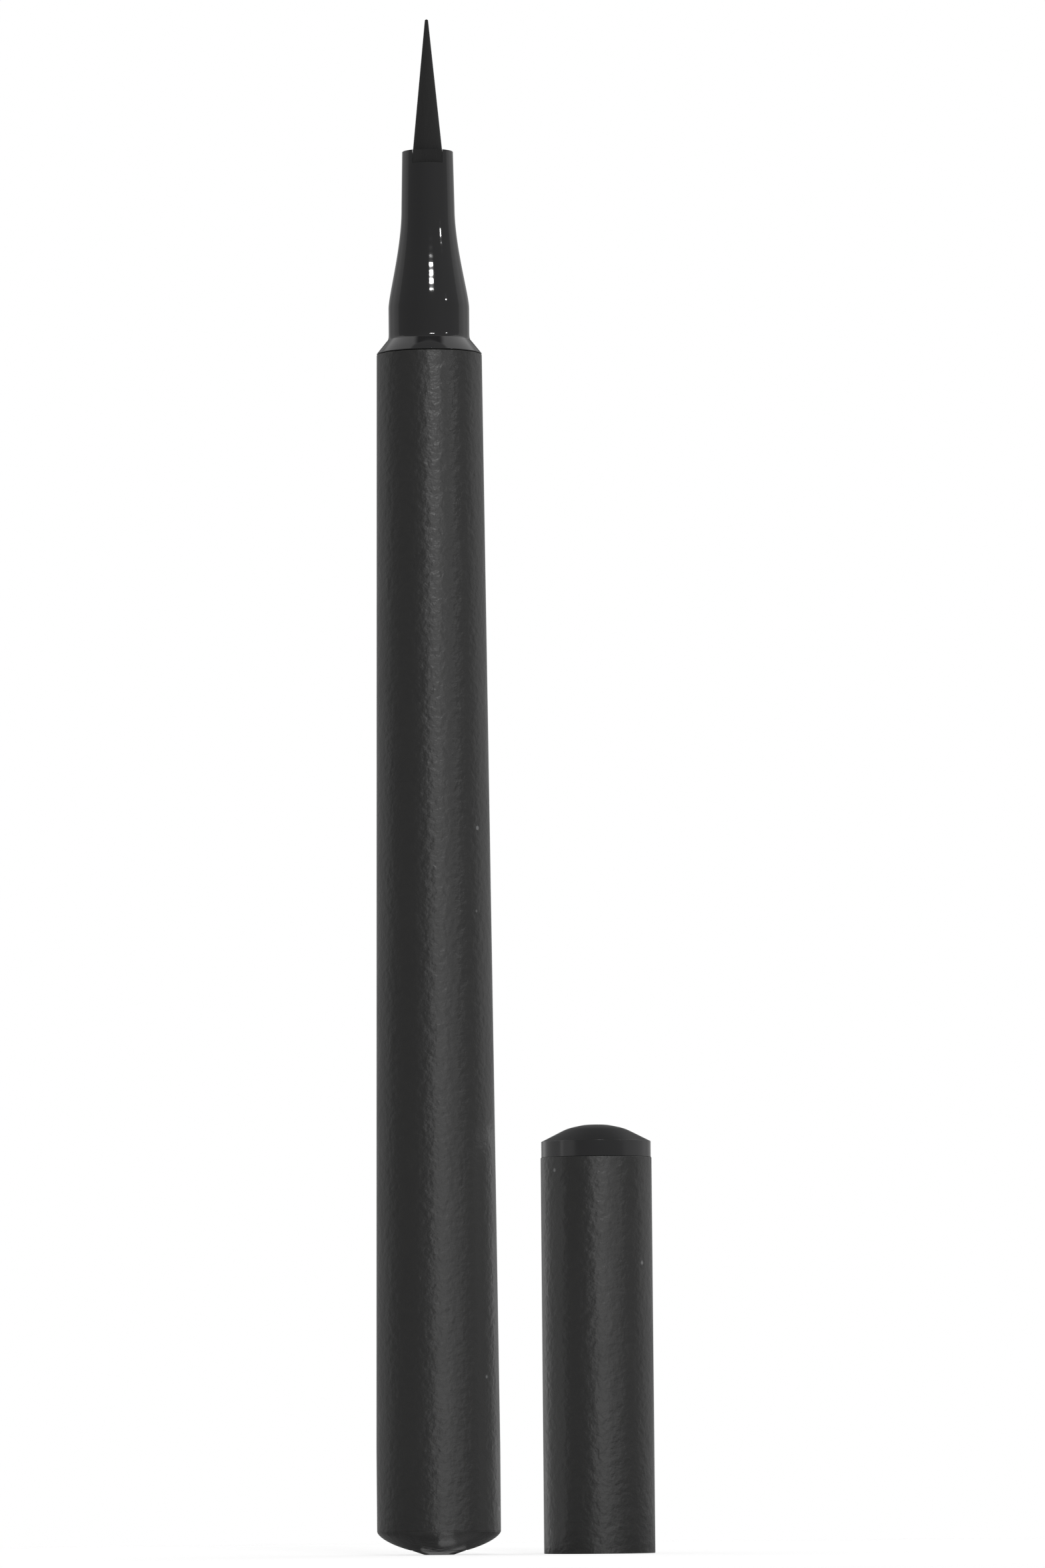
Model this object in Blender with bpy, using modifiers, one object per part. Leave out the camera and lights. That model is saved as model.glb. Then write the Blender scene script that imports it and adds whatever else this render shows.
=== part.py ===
"""Liquid eyeliner pen with its cap off, standing beside it.

Run it with: blender --background --python part.py

Units are metres and +Z is up. The pen stands on its tail with the origin in the middle of its foot,
and its nib points up. The cap stands on its mouth beside the pen, on an axis of its own.
Each piece is a separate closed solid. Turned pieces are outlines given a full turn by a Screw
modifier, and each outline runs down the outer side, so that its faces point out.
"""

import math

import bmesh
import bpy
from mathutils import Matrix, Vector

# Faces round a turned piece
SIDES = 32
INNER_SIDES = 20

# Clearances
SEAT_GAP = 0.00005  # between pieces that seat on or in each other
SLIDE_GAP = 0.00010  # between the inner cap and the bore that guides it
OVERRUN = 0.0004  # how far a cutter reaches past what it cuts
MERGE = 0.000001

# Barrel
BARREL_LENGTH = 0.1005
BARREL_TAIL_R = 0.00527
BARREL_SHOULDER_R = 0.00451
BARREL_STRAIGHT = 0.0070  # stretch at the tail before the taper starts
BARREL_WALL = 0.00085
BARREL_EDGE = 0.00012
SNAP_GROOVE_DEPTH = 0.00016
SNAP_GROOVE_WIDTH = 0.0011
SNAP_INSET = 0.0026  # from the end of the barrel to the middle of each snap groove

# Tail plug
HEAD_HEIGHT = 0.00200
HEAD_POWER = 1.6  # exponent of the head's superellipse: 2 would be an ellipse
HEAD_STEPS = 9
FOOT_R = 0.00125
BUTTON_R = 0.00226
BUTTON_GROOVE = 0.00014
PLUG_DEPTH = 0.0072  # of the spigot inside the barrel
PLUG_WALL = 0.00075
PLUG_FLOOR = 0.00085
SEAL_RIB = 0.00020
SEAL_RIB_WIDTH = 0.00045
CROSS_RIB = 0.00070

# Mixing ball
BALL_R = 0.0020
BALL_SEGMENTS = 20
BALL_RINGS = 12

# Nozzle
FLANGE_LAND = 0.00006
FLANGE_CONE = 0.00105  # height of the straight cone that the cap seats on
FLANGE_BLEND = 0.00065  # height of the curve from that cone to the neck
FLANGE_BLEND_SHARES = (0.3, 0.4)  # its middle point, in radius and in height
NECK_R = 0.00347
NECK_LENGTH = 0.00205
FLARE_LENGTH = 0.0083
FLARE_NECK_HOLD = 0.0020  # how far the flare keeps the neck's direction
FLARE_TUBE_HOLD = 0.0033  # how far before its end it has the front tube's direction
FLARE_STEPS = 9
FRONT_TUBE_R = 0.002285
FRONT_TUBE_LENGTH = 0.0054
FRONT_TUBE_DRAFT = 0.00010
LIP_ROUND = 0.00012
LIP_NOTCH_DEPTH = 0.00116  # of the flat-bottomed notch at the front of the lip
LIP_NOTCH_MARGIN = 0.00001  # on each side of the nib, which fills the notch
SPIGOT_LENGTH = 0.0076
SPIGOT_WALL = 0.00080
SPIGOT_STEP = 0.00065  # from the barrel's end down to the step that the retainer's flange meets

# Nib
NIB_R = 0.00127
NIB_REACH = 0.01150  # from the nozzle's lip to the point
NIB_POINT_R = 0.00015
NIB_POINT_SHARES = ((0.7, 0.2), (1.0, 0.8))  # the rounded point, in shares of its radius
HEEL_STEP = 0.00058
HEEL_LENGTH = 0.0020
NIB_SOCKET_DEPTH = 0.0032
VENT_GROOVE_WIDTH = 0.00036
VENT_GROOVE_DEPTH = 0.00022
VENT_GROOVES = 4

# Nib retainer
RETAINER_LENGTH = 0.0059  # of its body, which presses on the nib's heel
RETAINER_FLANGE = 0.0014
RETAINER_SLOT = 0.0006
RETAINER_SLOT_DEPTH = 0.0024

# Feed rod
ROD_R = 0.00080
ROD_GAP = 0.00010
ROD_CHAMFER = 0.00015

# Ink collector
COLLECTOR_LENGTH = 0.0145
COLLECTOR_CORE_R = 0.0016
COLLECTOR_COLLAR = 0.0009
FIN_GAP = 0.00030
FIN_THICKNESS = 0.00042
FIN_PITCH = 0.00092
VENT_SLOT_WIDTH = 0.00110
CAPILLARY_SLIT_WIDTH = 0.00034

# Tank bulkhead
BULKHEAD_HEIGHT = 0.0050
BULKHEAD_RIB_SHARES = (0.78, 0.22)  # heights of its two seal ribs
BULKHEAD_WALL = 0.00070
BULKHEAD_FLOOR = 0.0011
BULKHEAD_TUBE_WALL = 0.00060
BULKHEAD_TUBE = 0.0030  # how far the tube reaches into the tank
BULKHEAD_PORT_R = 0.00040
BULKHEAD_PORT_SIDES = 12
ROD_RECESS = 0.0008  # of the rod's end inside that tube

# Cap
CAP_GAP = 0.00365  # between the barrel and the cap as they stand
MOUTH_GAP = 0.00013  # between the nozzle's neck and the cap's mouth
MOUTH_WALL = 0.00113
MOUTH_DEPTH = 0.0052
MOUTH_BEAD = 0.00008
MOUTH_BEAD_Z = 0.0021
CAP_SEAT_SHARE = 0.4  # how far up the nozzle's cone the cap's rim comes to rest
RIM_LAND = 0.00040  # least flat width of the rim that the cap stands on
SHELL_WALL = 0.00078
SHELL_EDGE = 0.00010
CROWN_RIM_HEIGHT = 0.00125
CROWN_RIM_INSET = 0.000055
CROWN_DOME_HEIGHT = 0.00150
# The dome from its edge to its top, in shares of its radius and height
CROWN_DOME_SHARES = (
    (0.985, 0.045),
    (0.90, 0.155),
    (0.70, 0.455),
    (0.60, 0.607),
    (0.48, 0.76),
    (0.27, 0.91),
    (0.12, 0.975),
)
SKIRT_DEPTH = 0.0026
SKIRT_WALL = 0.00085
SKIRT_CHAMFER = 0.00025
CROWN_SOCKET_DEPTH = 0.0008  # spring's seat above the shell's end

# Inner cap
INNER_CAP_SEAL_SHARE = 0.645  # its bore, between the radii of the front tube and the neck
INNER_CAP_WALL = 0.00055
INNER_CAP_COLLAR = 0.0011
INNER_CAP_ROOF = 0.0006
INNER_CAP_LIP = 0.00005
INNER_CAP_LIP_Z = 0.0009
INNER_CAP_LIP_BACK = 0.00045
NIB_ROOM = 0.0006  # above the point of the nib when the cap is on
INNER_CAP_FLOAT = 0.0012
SPRING_BOSS_HEIGHT = 0.0008
SPRING_BOSS_GAP = 0.00028

# Cap spring
SPRING_WIRE = 0.00035
SPRING_R = 0.00172
SPRING_TURNS = 4
SPRING_TURN_POINTS = 10
SPRING_LEAST_GAP = 0.0004


def bore_radius(z):
    """Radius of the barrel's bore: straight at both ends, tapered between them."""
    share = (z - TAPER_START) / (FRONT_BORE_START - TAPER_START)
    share = min(1.0, max(0.0, share))
    return TAIL_BORE_R + (FRONT_BORE_R - TAIL_BORE_R) * share


# Heights and radii that follow from the sizes above, from the tail to the nib
BARREL_START = HEAD_HEIGHT + SEAT_GAP
BARREL_TOP = BARREL_START + BARREL_LENGTH
TAPER_START = BARREL_START + BARREL_STRAIGHT
TAIL_BORE_R = BARREL_TAIL_R - BARREL_WALL
FRONT_BORE_R = BARREL_SHOULDER_R - BARREL_WALL
FRONT_BORE_START = BARREL_TOP - SPIGOT_LENGTH - SEAL_RIB
PLUG_TOP = HEAD_HEIGHT + PLUG_DEPTH
CROSS_RIB_TOP = PLUG_TOP - CROSS_RIB
BALL_Z = CROSS_RIB_TOP + SEAT_GAP + BALL_R

FLANGE_START = BARREL_TOP + SEAT_GAP
CONE_START = FLANGE_START + FLANGE_LAND
CONE_TOP = CONE_START + FLANGE_CONE
NECK_START = CONE_TOP + FLANGE_BLEND
NECK_TOP = NECK_START + NECK_LENGTH
FLARE_TOP = NECK_TOP + FLARE_LENGTH
LIP_Z = FLARE_TOP + FRONT_TUBE_LENGTH
POINT_Z = LIP_Z + NIB_REACH
FLANGE_SLOPE = (BARREL_SHOULDER_R - NECK_R) / (FLANGE_CONE + FLANGE_BLEND)
CONE_TOP_R = NECK_R + FLANGE_BLEND * FLANGE_SLOPE / 2
SPIGOT_R = FRONT_BORE_R - SEAT_GAP - SEAL_RIB
SPIGOT_END = BARREL_TOP - SPIGOT_LENGTH
SPIGOT_BORE_R = SPIGOT_R - SPIGOT_WALL
HEEL_R = NIB_R + HEEL_STEP
HEEL_BORE_R = HEEL_R + SEAT_GAP
HEEL_BORE_START = BARREL_TOP - SPIGOT_STEP
RETAINER_TOP = HEEL_BORE_START + RETAINER_LENGTH
HEEL_START = RETAINER_TOP + SEAT_GAP
HEEL_TOP = HEEL_START + HEEL_LENGTH
HEEL_BORE_TOP = HEEL_TOP + SEAT_GAP
RETAINER_FLANGE_TOP = HEEL_BORE_START - SEAT_GAP
RETAINER_START = RETAINER_FLANGE_TOP - RETAINER_FLANGE

COLLECTOR_BOSS_TOP = RETAINER_START - SEAT_GAP
COLLECTOR_TOP = SPIGOT_END - SEAT_GAP
COLLECTOR_START = COLLECTOR_TOP - COLLECTOR_LENGTH
FIN_R = FRONT_BORE_R - FIN_GAP
BULKHEAD_TOP = COLLECTOR_START - SEAT_GAP
BULKHEAD_START = BULKHEAD_TOP - BULKHEAD_HEIGHT
BULKHEAD_TUBE_END = BULKHEAD_START - BULKHEAD_TUBE
ROD_BORE_R = ROD_R + ROD_GAP
ROD_START = BULKHEAD_TUBE_END + ROD_RECESS
ROD_TOP = HEEL_START + NIB_SOCKET_DEPTH - ROD_GAP
BALL_TRAVEL = BULKHEAD_TUBE_END - SEAT_GAP - BALL_R - BALL_Z

# The same for the cap, measured up from its mouth
MOUTH_R = NECK_R + MOUTH_GAP
CAP_R = MOUTH_R + MOUTH_WALL
CAP_X = BARREL_TAIL_R + CAP_GAP + CAP_R
CAP_SEAT_R = BARREL_SHOULDER_R + (CONE_TOP_R - BARREL_SHOULDER_R) * CAP_SEAT_SHARE
LEAD_IN_R = min(CAP_SEAT_R + SEAT_GAP, CAP_R - SHELL_EDGE - RIM_LAND)
LEAD_IN_HEIGHT = (LEAD_IN_R - MOUTH_R) * FLANGE_CONE / (BARREL_SHOULDER_R - CONE_TOP_R)
CAPPED_LIFT = CONE_START + FLANGE_CONE * CAP_SEAT_SHARE
SHELL_BORE_R = CAP_R - SHELL_WALL
INNER_CAP_START = MOUTH_DEPTH + SEAT_GAP
INNER_CAP_ROOM_TOP = POINT_Z - CAPPED_LIFT + NIB_ROOM
INNER_CAP_TOP = INNER_CAP_ROOM_TOP + INNER_CAP_ROOF
INNER_CAP_R = FRONT_TUBE_R + (NECK_R - FRONT_TUBE_R) * INNER_CAP_SEAL_SHARE
INNER_CAP_OUTER_R = INNER_CAP_R + INNER_CAP_WALL
SPRING_BOSS_R = SPRING_R - SPRING_WIRE / 2 - SPRING_BOSS_GAP
COLLAR_R = SHELL_BORE_R - SLIDE_GAP
SKIRT_END = INNER_CAP_TOP + INNER_CAP_FLOAT + SLIDE_GAP
SHELL_LENGTH = SKIRT_END + SKIRT_DEPTH
CROWN_START = SHELL_LENGTH + SEAT_GAP
CROWN_R = CAP_R - CROWN_RIM_INSET
SKIRT_R = SHELL_BORE_R - SEAT_GAP
SOCKET_R = SKIRT_R - SKIRT_WALL
SOCKET_TOP = SHELL_LENGTH + CROWN_SOCKET_DEPTH
CAP_LIFT_TRAVEL = POINT_Z + CAP_GAP


def linear(channel):
    """One sRGB channel, 0 to 1, as the linear value that a shader takes."""
    if channel <= 0.04045:
        return channel / 12.92
    return ((channel + 0.055) / 1.055) ** 2.4


def material(name, hex_colour, roughness, metallic=0.0):
    """A Principled material from an sRGB hex colour."""
    made = bpy.data.materials.new(name)
    made.use_nodes = True
    shader = made.node_tree.nodes["Principled BSDF"]
    channels = [int(hex_colour[start : start + 2], 16) / 255 for start in (0, 2, 4)]
    shader.inputs["Base Color"].default_value = [linear(channel) for channel in channels] + [1.0]
    shader.inputs["Roughness"].default_value = roughness
    shader.inputs["Metallic"].default_value = metallic
    return made


def collection(name):
    made = bpy.data.collections.new(name)
    bpy.context.scene.collection.children.link(made)
    return made


def axis_empty(name, location):
    """An empty that marks the line a moving body slides along."""
    empty = bpy.data.objects.new(name, None)
    empty.empty_display_type = "SINGLE_ARROW"
    empty.empty_display_size = BARREL_TAIL_R
    empty.location = location
    pieces.objects.link(empty)
    return empty


def turned(name, outline, surface, sides=SIDES, closed=True):
    """A turned piece. The outline is (radius, height) points down the outer side and up the inner one.

    A closed outline makes a ring. An open one starts and ends on the axis.
    """
    mesh = bpy.data.meshes.new(name)
    points = [(radius, 0, height) for radius, height in outline]
    edges = [(start, start + 1) for start in range(len(points) - 1)]
    if closed:
        edges.append((len(points) - 1, 0))
    mesh.from_pydata(points, edges, [])
    mesh.materials.append(surface)
    piece = bpy.data.objects.new(name, mesh)
    pieces.objects.link(piece)
    screw = piece.modifiers.new("Full turn", "SCREW")
    screw.steps = sides
    screw.render_steps = sides
    screw.use_merge_vertices = True
    screw.merge_threshold = MERGE
    screw.use_smooth_shade = True
    return piece


def block_cutter(name, low, high):
    """A box between two corners, for cutting or joining."""
    shape = bmesh.new()
    size = Vector(high) - Vector(low)
    middle = (Vector(high) + Vector(low)) / 2
    place = Matrix.Translation(middle) @ Matrix.Diagonal((*size, 1.0))
    bmesh.ops.create_cube(shape, size=1.0, matrix=place)
    return helper(name, shape)


def helper(name, shape):
    """Keeps a bmesh as a cutter, which isn't part of the pen."""
    mesh = bpy.data.meshes.new(name)
    shape.to_mesh(mesh)
    shape.free()
    tool = bpy.data.objects.new(name, mesh)
    tool.hide_render = True
    tool.display_type = "WIRE"
    cutters.objects.link(tool)
    return tool


def use(piece, tool, operation):
    step = piece.modifiers.new(tool.name, "BOOLEAN")
    step.operation = operation
    step.solver = "EXACT"
    step.object = tool


def settle(piece):
    """Turns a piece's modifiers into its mesh and marks its hard edges."""
    evaluated = piece.evaluated_get(bpy.context.evaluated_depsgraph_get())
    piece.data = bpy.data.meshes.new_from_object(evaluated)
    piece.data.name = piece.name
    piece.modifiers.clear()
    piece.data.shade_smooth()
    piece.data.set_sharp_from_angle(angle=math.radians(35))


def seal_rib(radius, rib_radius, middle):
    """Outline points, from the top down, of a round rib on a spigot."""
    half = SEAL_RIB_WIDTH / 2
    return [
        (radius, middle + half),
        (rib_radius, middle + half / 2),
        (rib_radius, middle - half / 2),
        (radius, middle - half),
    ]


def snap_bead(radius, groove_radius, middle):
    """Outline points, from the top down, of a bead that sits in a snap groove."""
    half = SNAP_GROOVE_WIDTH / 2 - SEAT_GAP
    bead_radius = groove_radius - SEAT_GAP
    slope = bead_radius - radius
    return [
        (radius, middle + half),
        (bead_radius, middle + half - slope),
        (bead_radius, middle - half + slope),
        (radius, middle - half),
    ]


def snap_groove(radius, middle):
    """Outline points, from the bottom up, of a groove in a bore."""
    half = SNAP_GROOVE_WIDTH / 2
    return [
        (radius, middle - half),
        (radius + SNAP_GROOVE_DEPTH, middle - half + SNAP_GROOVE_DEPTH),
        (radius + SNAP_GROOVE_DEPTH, middle + half - SNAP_GROOVE_DEPTH),
        (radius, middle + half),
    ]


def eased(start, end, start_hold, end_hold, steps):
    """Points of a Bezier curve between two (radius, height) points, along the axis at both ends."""
    corners = [
        Vector(start),
        Vector((start[0], start[1] - start_hold)),
        Vector((end[0], end[1] + end_hold)),
        Vector(end),
    ]
    points = []
    for step in range(1, steps):
        t = step / steps
        weights = ((1 - t) ** 3, 3 * t * (1 - t) ** 2, 3 * t * t * (1 - t), t**3)
        point = sum((weight * corner for weight, corner in zip(weights, corners)), Vector((0, 0)))
        points.append(tuple(point))
    return points


def head_height_at(radius):
    """Height of the domed head's surface above the ground, by its superellipse."""
    share = radius / BARREL_TAIL_R
    return HEAD_HEIGHT * (1 - (1 - share**HEAD_POWER) ** (1 / HEAD_POWER))


def make_barrel(surface):
    """The long tapered tube, with a snap groove and a chamfer at each end of its bore."""
    outline = [
        (FRONT_BORE_R + BARREL_EDGE, BARREL_TOP),
        (BARREL_SHOULDER_R - BARREL_EDGE, BARREL_TOP),
        (BARREL_SHOULDER_R, BARREL_TOP - BARREL_EDGE),
        (BARREL_TAIL_R, TAPER_START),
        (BARREL_TAIL_R, BARREL_START + BARREL_EDGE),
        (BARREL_TAIL_R - BARREL_EDGE, BARREL_START),
        (TAIL_BORE_R + BARREL_EDGE, BARREL_START),
        (TAIL_BORE_R, BARREL_START + BARREL_EDGE),
        *snap_groove(TAIL_BORE_R, BARREL_START + SNAP_INSET),
        (TAIL_BORE_R, TAPER_START),
        (FRONT_BORE_R, FRONT_BORE_START),
        *snap_groove(FRONT_BORE_R, BARREL_TOP - SNAP_INSET),
        (FRONT_BORE_R, BARREL_TOP - BARREL_EDGE),
    ]
    settle(turned("barrel", outline, surface))


def make_tail_plug(surface):
    """The domed tail end, with its foot button and a hollow spigot that snaps into the barrel."""
    spigot_r = TAIL_BORE_R - SEAT_GAP - SEAL_RIB
    cavity_r = spigot_r - PLUG_WALL
    rib_middle = PLUG_TOP - SEAL_RIB_WIDTH * 2
    rib_r = bore_radius(rib_middle + SEAL_RIB_WIDTH) - SEAT_GAP
    groove_r = BUTTON_R + BUTTON_GROOVE
    dome_end = math.acos((groove_r / BARREL_TAIL_R) ** (HEAD_POWER / 2))
    dome = []
    for step in range(HEAD_STEPS):
        turn = dome_end * step / (HEAD_STEPS - 1)
        radius = BARREL_TAIL_R * math.cos(turn) ** (2 / HEAD_POWER)
        dome.append((radius, head_height_at(radius)))
    outline = [
        (0, HEAD_HEIGHT + PLUG_FLOOR),
        (cavity_r, HEAD_HEIGHT + PLUG_FLOOR),
        (cavity_r, PLUG_TOP),
        (spigot_r - SEAL_RIB, PLUG_TOP),
        (spigot_r, PLUG_TOP - SEAL_RIB),
        *seal_rib(spigot_r, rib_r, rib_middle),
        *snap_bead(spigot_r, TAIL_BORE_R + SNAP_GROOVE_DEPTH, BARREL_START + SNAP_INSET),
        (spigot_r, HEAD_HEIGHT),
        *dome,
        (groove_r, head_height_at(groove_r) + BUTTON_GROOVE),
        (BUTTON_R, head_height_at(BUTTON_R) + BUTTON_GROOVE),
        (BUTTON_R, head_height_at(BUTTON_R)),
        (FOOT_R, 0),
        (0, 0),
    ]
    piece = turned("tail_plug", outline, surface, closed=False)
    reach = cavity_r + PLUG_WALL / 2
    sunk = HEAD_HEIGHT + PLUG_FLOOR / 2
    half = CROSS_RIB / 2
    across = block_cutter("cross_rib_x", (-reach, -half, sunk), (reach, half, CROSS_RIB_TOP))
    along = block_cutter("cross_rib_y", (-half, -reach, sunk), (half, reach, CROSS_RIB_TOP))
    use(piece, across, "UNION")
    use(piece, along, "UNION")
    settle(piece)


def make_mixing_ball(surface):
    """The loose steel ball in the tank, which rests on the plug's cross ribs."""
    shape = bmesh.new()
    bmesh.ops.create_uvsphere(shape, u_segments=BALL_SEGMENTS, v_segments=BALL_RINGS, radius=BALL_R)
    mesh = bpy.data.meshes.new("mixing_ball")
    shape.to_mesh(mesh)
    shape.free()
    mesh.materials.append(surface)
    mesh.shade_smooth()
    piece = bpy.data.objects.new("mixing_ball", mesh)
    piece.location = (0, 0, BALL_Z)
    pieces.objects.link(piece)


def make_tank_bulkhead(surface):
    """The plug between tank and collector: a ribbed cup with a tube that reaches into the tank."""
    skirt_r = bore_radius(BULKHEAD_TOP) - SEAT_GAP - SEAL_RIB
    room_r = skirt_r - BULKHEAD_WALL
    tube_r = ROD_BORE_R + BULKHEAD_TUBE_WALL
    ribs = []
    for share in BULKHEAD_RIB_SHARES:
        middle = BULKHEAD_START + BULKHEAD_HEIGHT * share
        ribs += seal_rib(skirt_r, bore_radius(middle + SEAL_RIB_WIDTH) - SEAT_GAP, middle)
    outline = [
        (room_r, BULKHEAD_TOP),
        (skirt_r, BULKHEAD_TOP),
        *ribs,
        (skirt_r, BULKHEAD_START),
        (tube_r, BULKHEAD_START),
        (tube_r, BULKHEAD_TUBE_END + SEAL_RIB),
        (tube_r - SEAL_RIB, BULKHEAD_TUBE_END),
        (ROD_BORE_R, BULKHEAD_TUBE_END),
        (ROD_BORE_R, BULKHEAD_START + BULKHEAD_FLOOR),
        (room_r, BULKHEAD_START + BULKHEAD_FLOOR),
    ]
    piece = turned("tank_bulkhead", outline, surface)
    shape = bmesh.new()
    port_depth = BULKHEAD_FLOOR + OVERRUN * 2
    place = Vector(((tube_r + room_r) / 2, 0, BULKHEAD_START + BULKHEAD_FLOOR / 2))
    bmesh.ops.create_cone(
        shape,
        cap_ends=True,
        segments=BULKHEAD_PORT_SIDES,
        radius1=BULKHEAD_PORT_R,
        radius2=BULKHEAD_PORT_R,
        depth=port_depth,
        matrix=Matrix.Translation(place),
    )
    use(piece, helper("bulkhead_port", shape), "DIFFERENCE")
    settle(piece)


def make_ink_collector(surface):
    """The comb of fins round a bored core, with a wide vent slot and a fine capillary slit."""
    boss_r = SPIGOT_BORE_R - SEAT_GAP
    fins_start = COLLECTOR_START + COLLECTOR_COLLAR
    fins_room = COLLECTOR_TOP - COLLECTOR_COLLAR - fins_start
    gap = FIN_PITCH - FIN_THICKNESS
    count = int((fins_room - gap) / FIN_PITCH)
    spare = (fins_room - count * FIN_PITCH - gap) / (count + 1)
    outline = [
        (ROD_BORE_R, COLLECTOR_BOSS_TOP),
        (boss_r - SEAL_RIB, COLLECTOR_BOSS_TOP),
        (boss_r, COLLECTOR_BOSS_TOP - SEAL_RIB),
        (boss_r, COLLECTOR_TOP),
        (FIN_R, COLLECTOR_TOP),
        (FIN_R, COLLECTOR_TOP - COLLECTOR_COLLAR),
        (COLLECTOR_CORE_R, COLLECTOR_TOP - COLLECTOR_COLLAR),
    ]
    fin_top = COLLECTOR_TOP - COLLECTOR_COLLAR - gap - spare
    for _ in range(count):
        fin_base = fin_top - FIN_THICKNESS
        outline += [
            (COLLECTOR_CORE_R, fin_top),
            (FIN_R, fin_top),
            (FIN_R, fin_base),
            (COLLECTOR_CORE_R, fin_base),
        ]
        fin_top -= FIN_PITCH + spare
    outline += [
        (COLLECTOR_CORE_R, fins_start),
        (FIN_R, fins_start),
        (FIN_R, COLLECTOR_START),
        (ROD_BORE_R, COLLECTOR_START),
    ]
    piece = turned("ink_collector", outline, surface, sides=INNER_SIDES)
    far = FIN_R + OVERRUN
    slot = block_cutter(
        "vent_slot",
        (COLLECTOR_CORE_R, -VENT_SLOT_WIDTH / 2, fins_start - OVERRUN / 2),
        (far, VENT_SLOT_WIDTH / 2, COLLECTOR_TOP + OVERRUN),
    )
    slit = block_cutter(
        "capillary_slit",
        (-far, -CAPILLARY_SLIT_WIDTH / 2, fins_start),
        (0, CAPILLARY_SLIT_WIDTH / 2, COLLECTOR_TOP - COLLECTOR_COLLAR),
    )
    use(piece, slot, "DIFFERENCE")
    use(piece, slit, "DIFFERENCE")
    settle(piece)


def make_feed_rod(surface):
    """The fibre wick from the tank, through bulkhead, collector and retainer, into the nib."""
    outline = [
        (0, ROD_TOP),
        (ROD_R - ROD_CHAMFER, ROD_TOP),
        (ROD_R, ROD_TOP - ROD_CHAMFER),
        (ROD_R, ROD_START + ROD_CHAMFER),
        (ROD_R - ROD_CHAMFER, ROD_START),
        (0, ROD_START),
    ]
    settle(turned("feed_rod", outline, surface, sides=INNER_SIDES, closed=False))


def make_nozzle(surface):
    """The glossy front: chamfered flange, neck, flare and front tube, with a spigot in the barrel."""
    lip_bore_r = NIB_R + SEAT_GAP
    front_r = FRONT_TUBE_R - FRONT_TUBE_DRAFT
    rib_r = FRONT_BORE_R - SEAT_GAP
    blend_radius_share, blend_height_share = FLANGE_BLEND_SHARES
    blend_r = NECK_R + (CONE_TOP_R - NECK_R) * blend_radius_share
    outline = [
        (lip_bore_r + LIP_ROUND, LIP_Z),
        (front_r - LIP_ROUND, LIP_Z),
        (front_r, LIP_Z - LIP_ROUND),
        (FRONT_TUBE_R, FLARE_TOP),
        *eased(
            (FRONT_TUBE_R, FLARE_TOP),
            (NECK_R, NECK_TOP),
            FLARE_TUBE_HOLD,
            FLARE_NECK_HOLD,
            FLARE_STEPS,
        ),
        (NECK_R, NECK_TOP),
        (NECK_R, NECK_START),
        (blend_r, CONE_TOP + FLANGE_BLEND * blend_height_share),
        (CONE_TOP_R, CONE_TOP),
        (BARREL_SHOULDER_R, CONE_START),
        (BARREL_SHOULDER_R, FLANGE_START),
        (SPIGOT_R, FLANGE_START),
        *snap_bead(SPIGOT_R, FRONT_BORE_R + SNAP_GROOVE_DEPTH, BARREL_TOP - SNAP_INSET),
        *seal_rib(SPIGOT_R, rib_r, SPIGOT_END + SEAL_RIB_WIDTH * 2),
        (SPIGOT_R, SPIGOT_END + SEAL_RIB),
        (SPIGOT_R - SEAL_RIB, SPIGOT_END),
        (SPIGOT_BORE_R, SPIGOT_END),
        (SPIGOT_BORE_R, HEEL_BORE_START),
        (HEEL_BORE_R, HEEL_BORE_START),
        (HEEL_BORE_R, HEEL_BORE_TOP),
        (lip_bore_r, HEEL_BORE_TOP),
        (lip_bore_r, LIP_Z - LIP_ROUND),
    ]
    piece = turned("nozzle", outline, surface)
    depth_r = lip_bore_r + VENT_GROOVE_DEPTH
    half = VENT_GROOVE_WIDTH / 2
    grooves_top = FLARE_TOP + FRONT_TUBE_LENGTH / 2
    for number in range(VENT_GROOVES // 2):
        groove = block_cutter(
            f"vent_groove_{number + 1}",
            (-depth_r, -half, HEEL_BORE_TOP - OVERRUN),
            (depth_r, half, grooves_top),
        )
        groove.rotation_euler.z = math.tau * number / VENT_GROOVES
        use(piece, groove, "DIFFERENCE")
    notch_half = NIB_R + LIP_NOTCH_MARGIN
    notch = block_cutter(
        "lip_notch",
        (-notch_half, -FRONT_TUBE_R - OVERRUN, LIP_Z - LIP_NOTCH_DEPTH),
        (notch_half, 0, LIP_Z + OVERRUN),
    )
    use(piece, notch, "DIFFERENCE")
    settle(piece)


def make_nib_retainer(surface):
    """The flanged sleeve that holds the nib's heel, slotted at the back for ink and air."""
    flange_r = SPIGOT_BORE_R - SEAT_GAP
    outline = [
        (ROD_BORE_R, RETAINER_TOP),
        (HEEL_R, RETAINER_TOP),
        (HEEL_R, RETAINER_FLANGE_TOP),
        (flange_r, RETAINER_FLANGE_TOP),
        (flange_r, RETAINER_START),
        (ROD_BORE_R, RETAINER_START),
    ]
    piece = turned("nib_retainer", outline, surface, sides=SIDES)
    far = flange_r + OVERRUN
    slot = block_cutter(
        "retainer_slot",
        (-far, -RETAINER_SLOT / 2, RETAINER_START - OVERRUN),
        (far, RETAINER_SLOT / 2, RETAINER_START + RETAINER_SLOT_DEPTH),
    )
    use(piece, slot, "DIFFERENCE")
    settle(piece)


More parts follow.
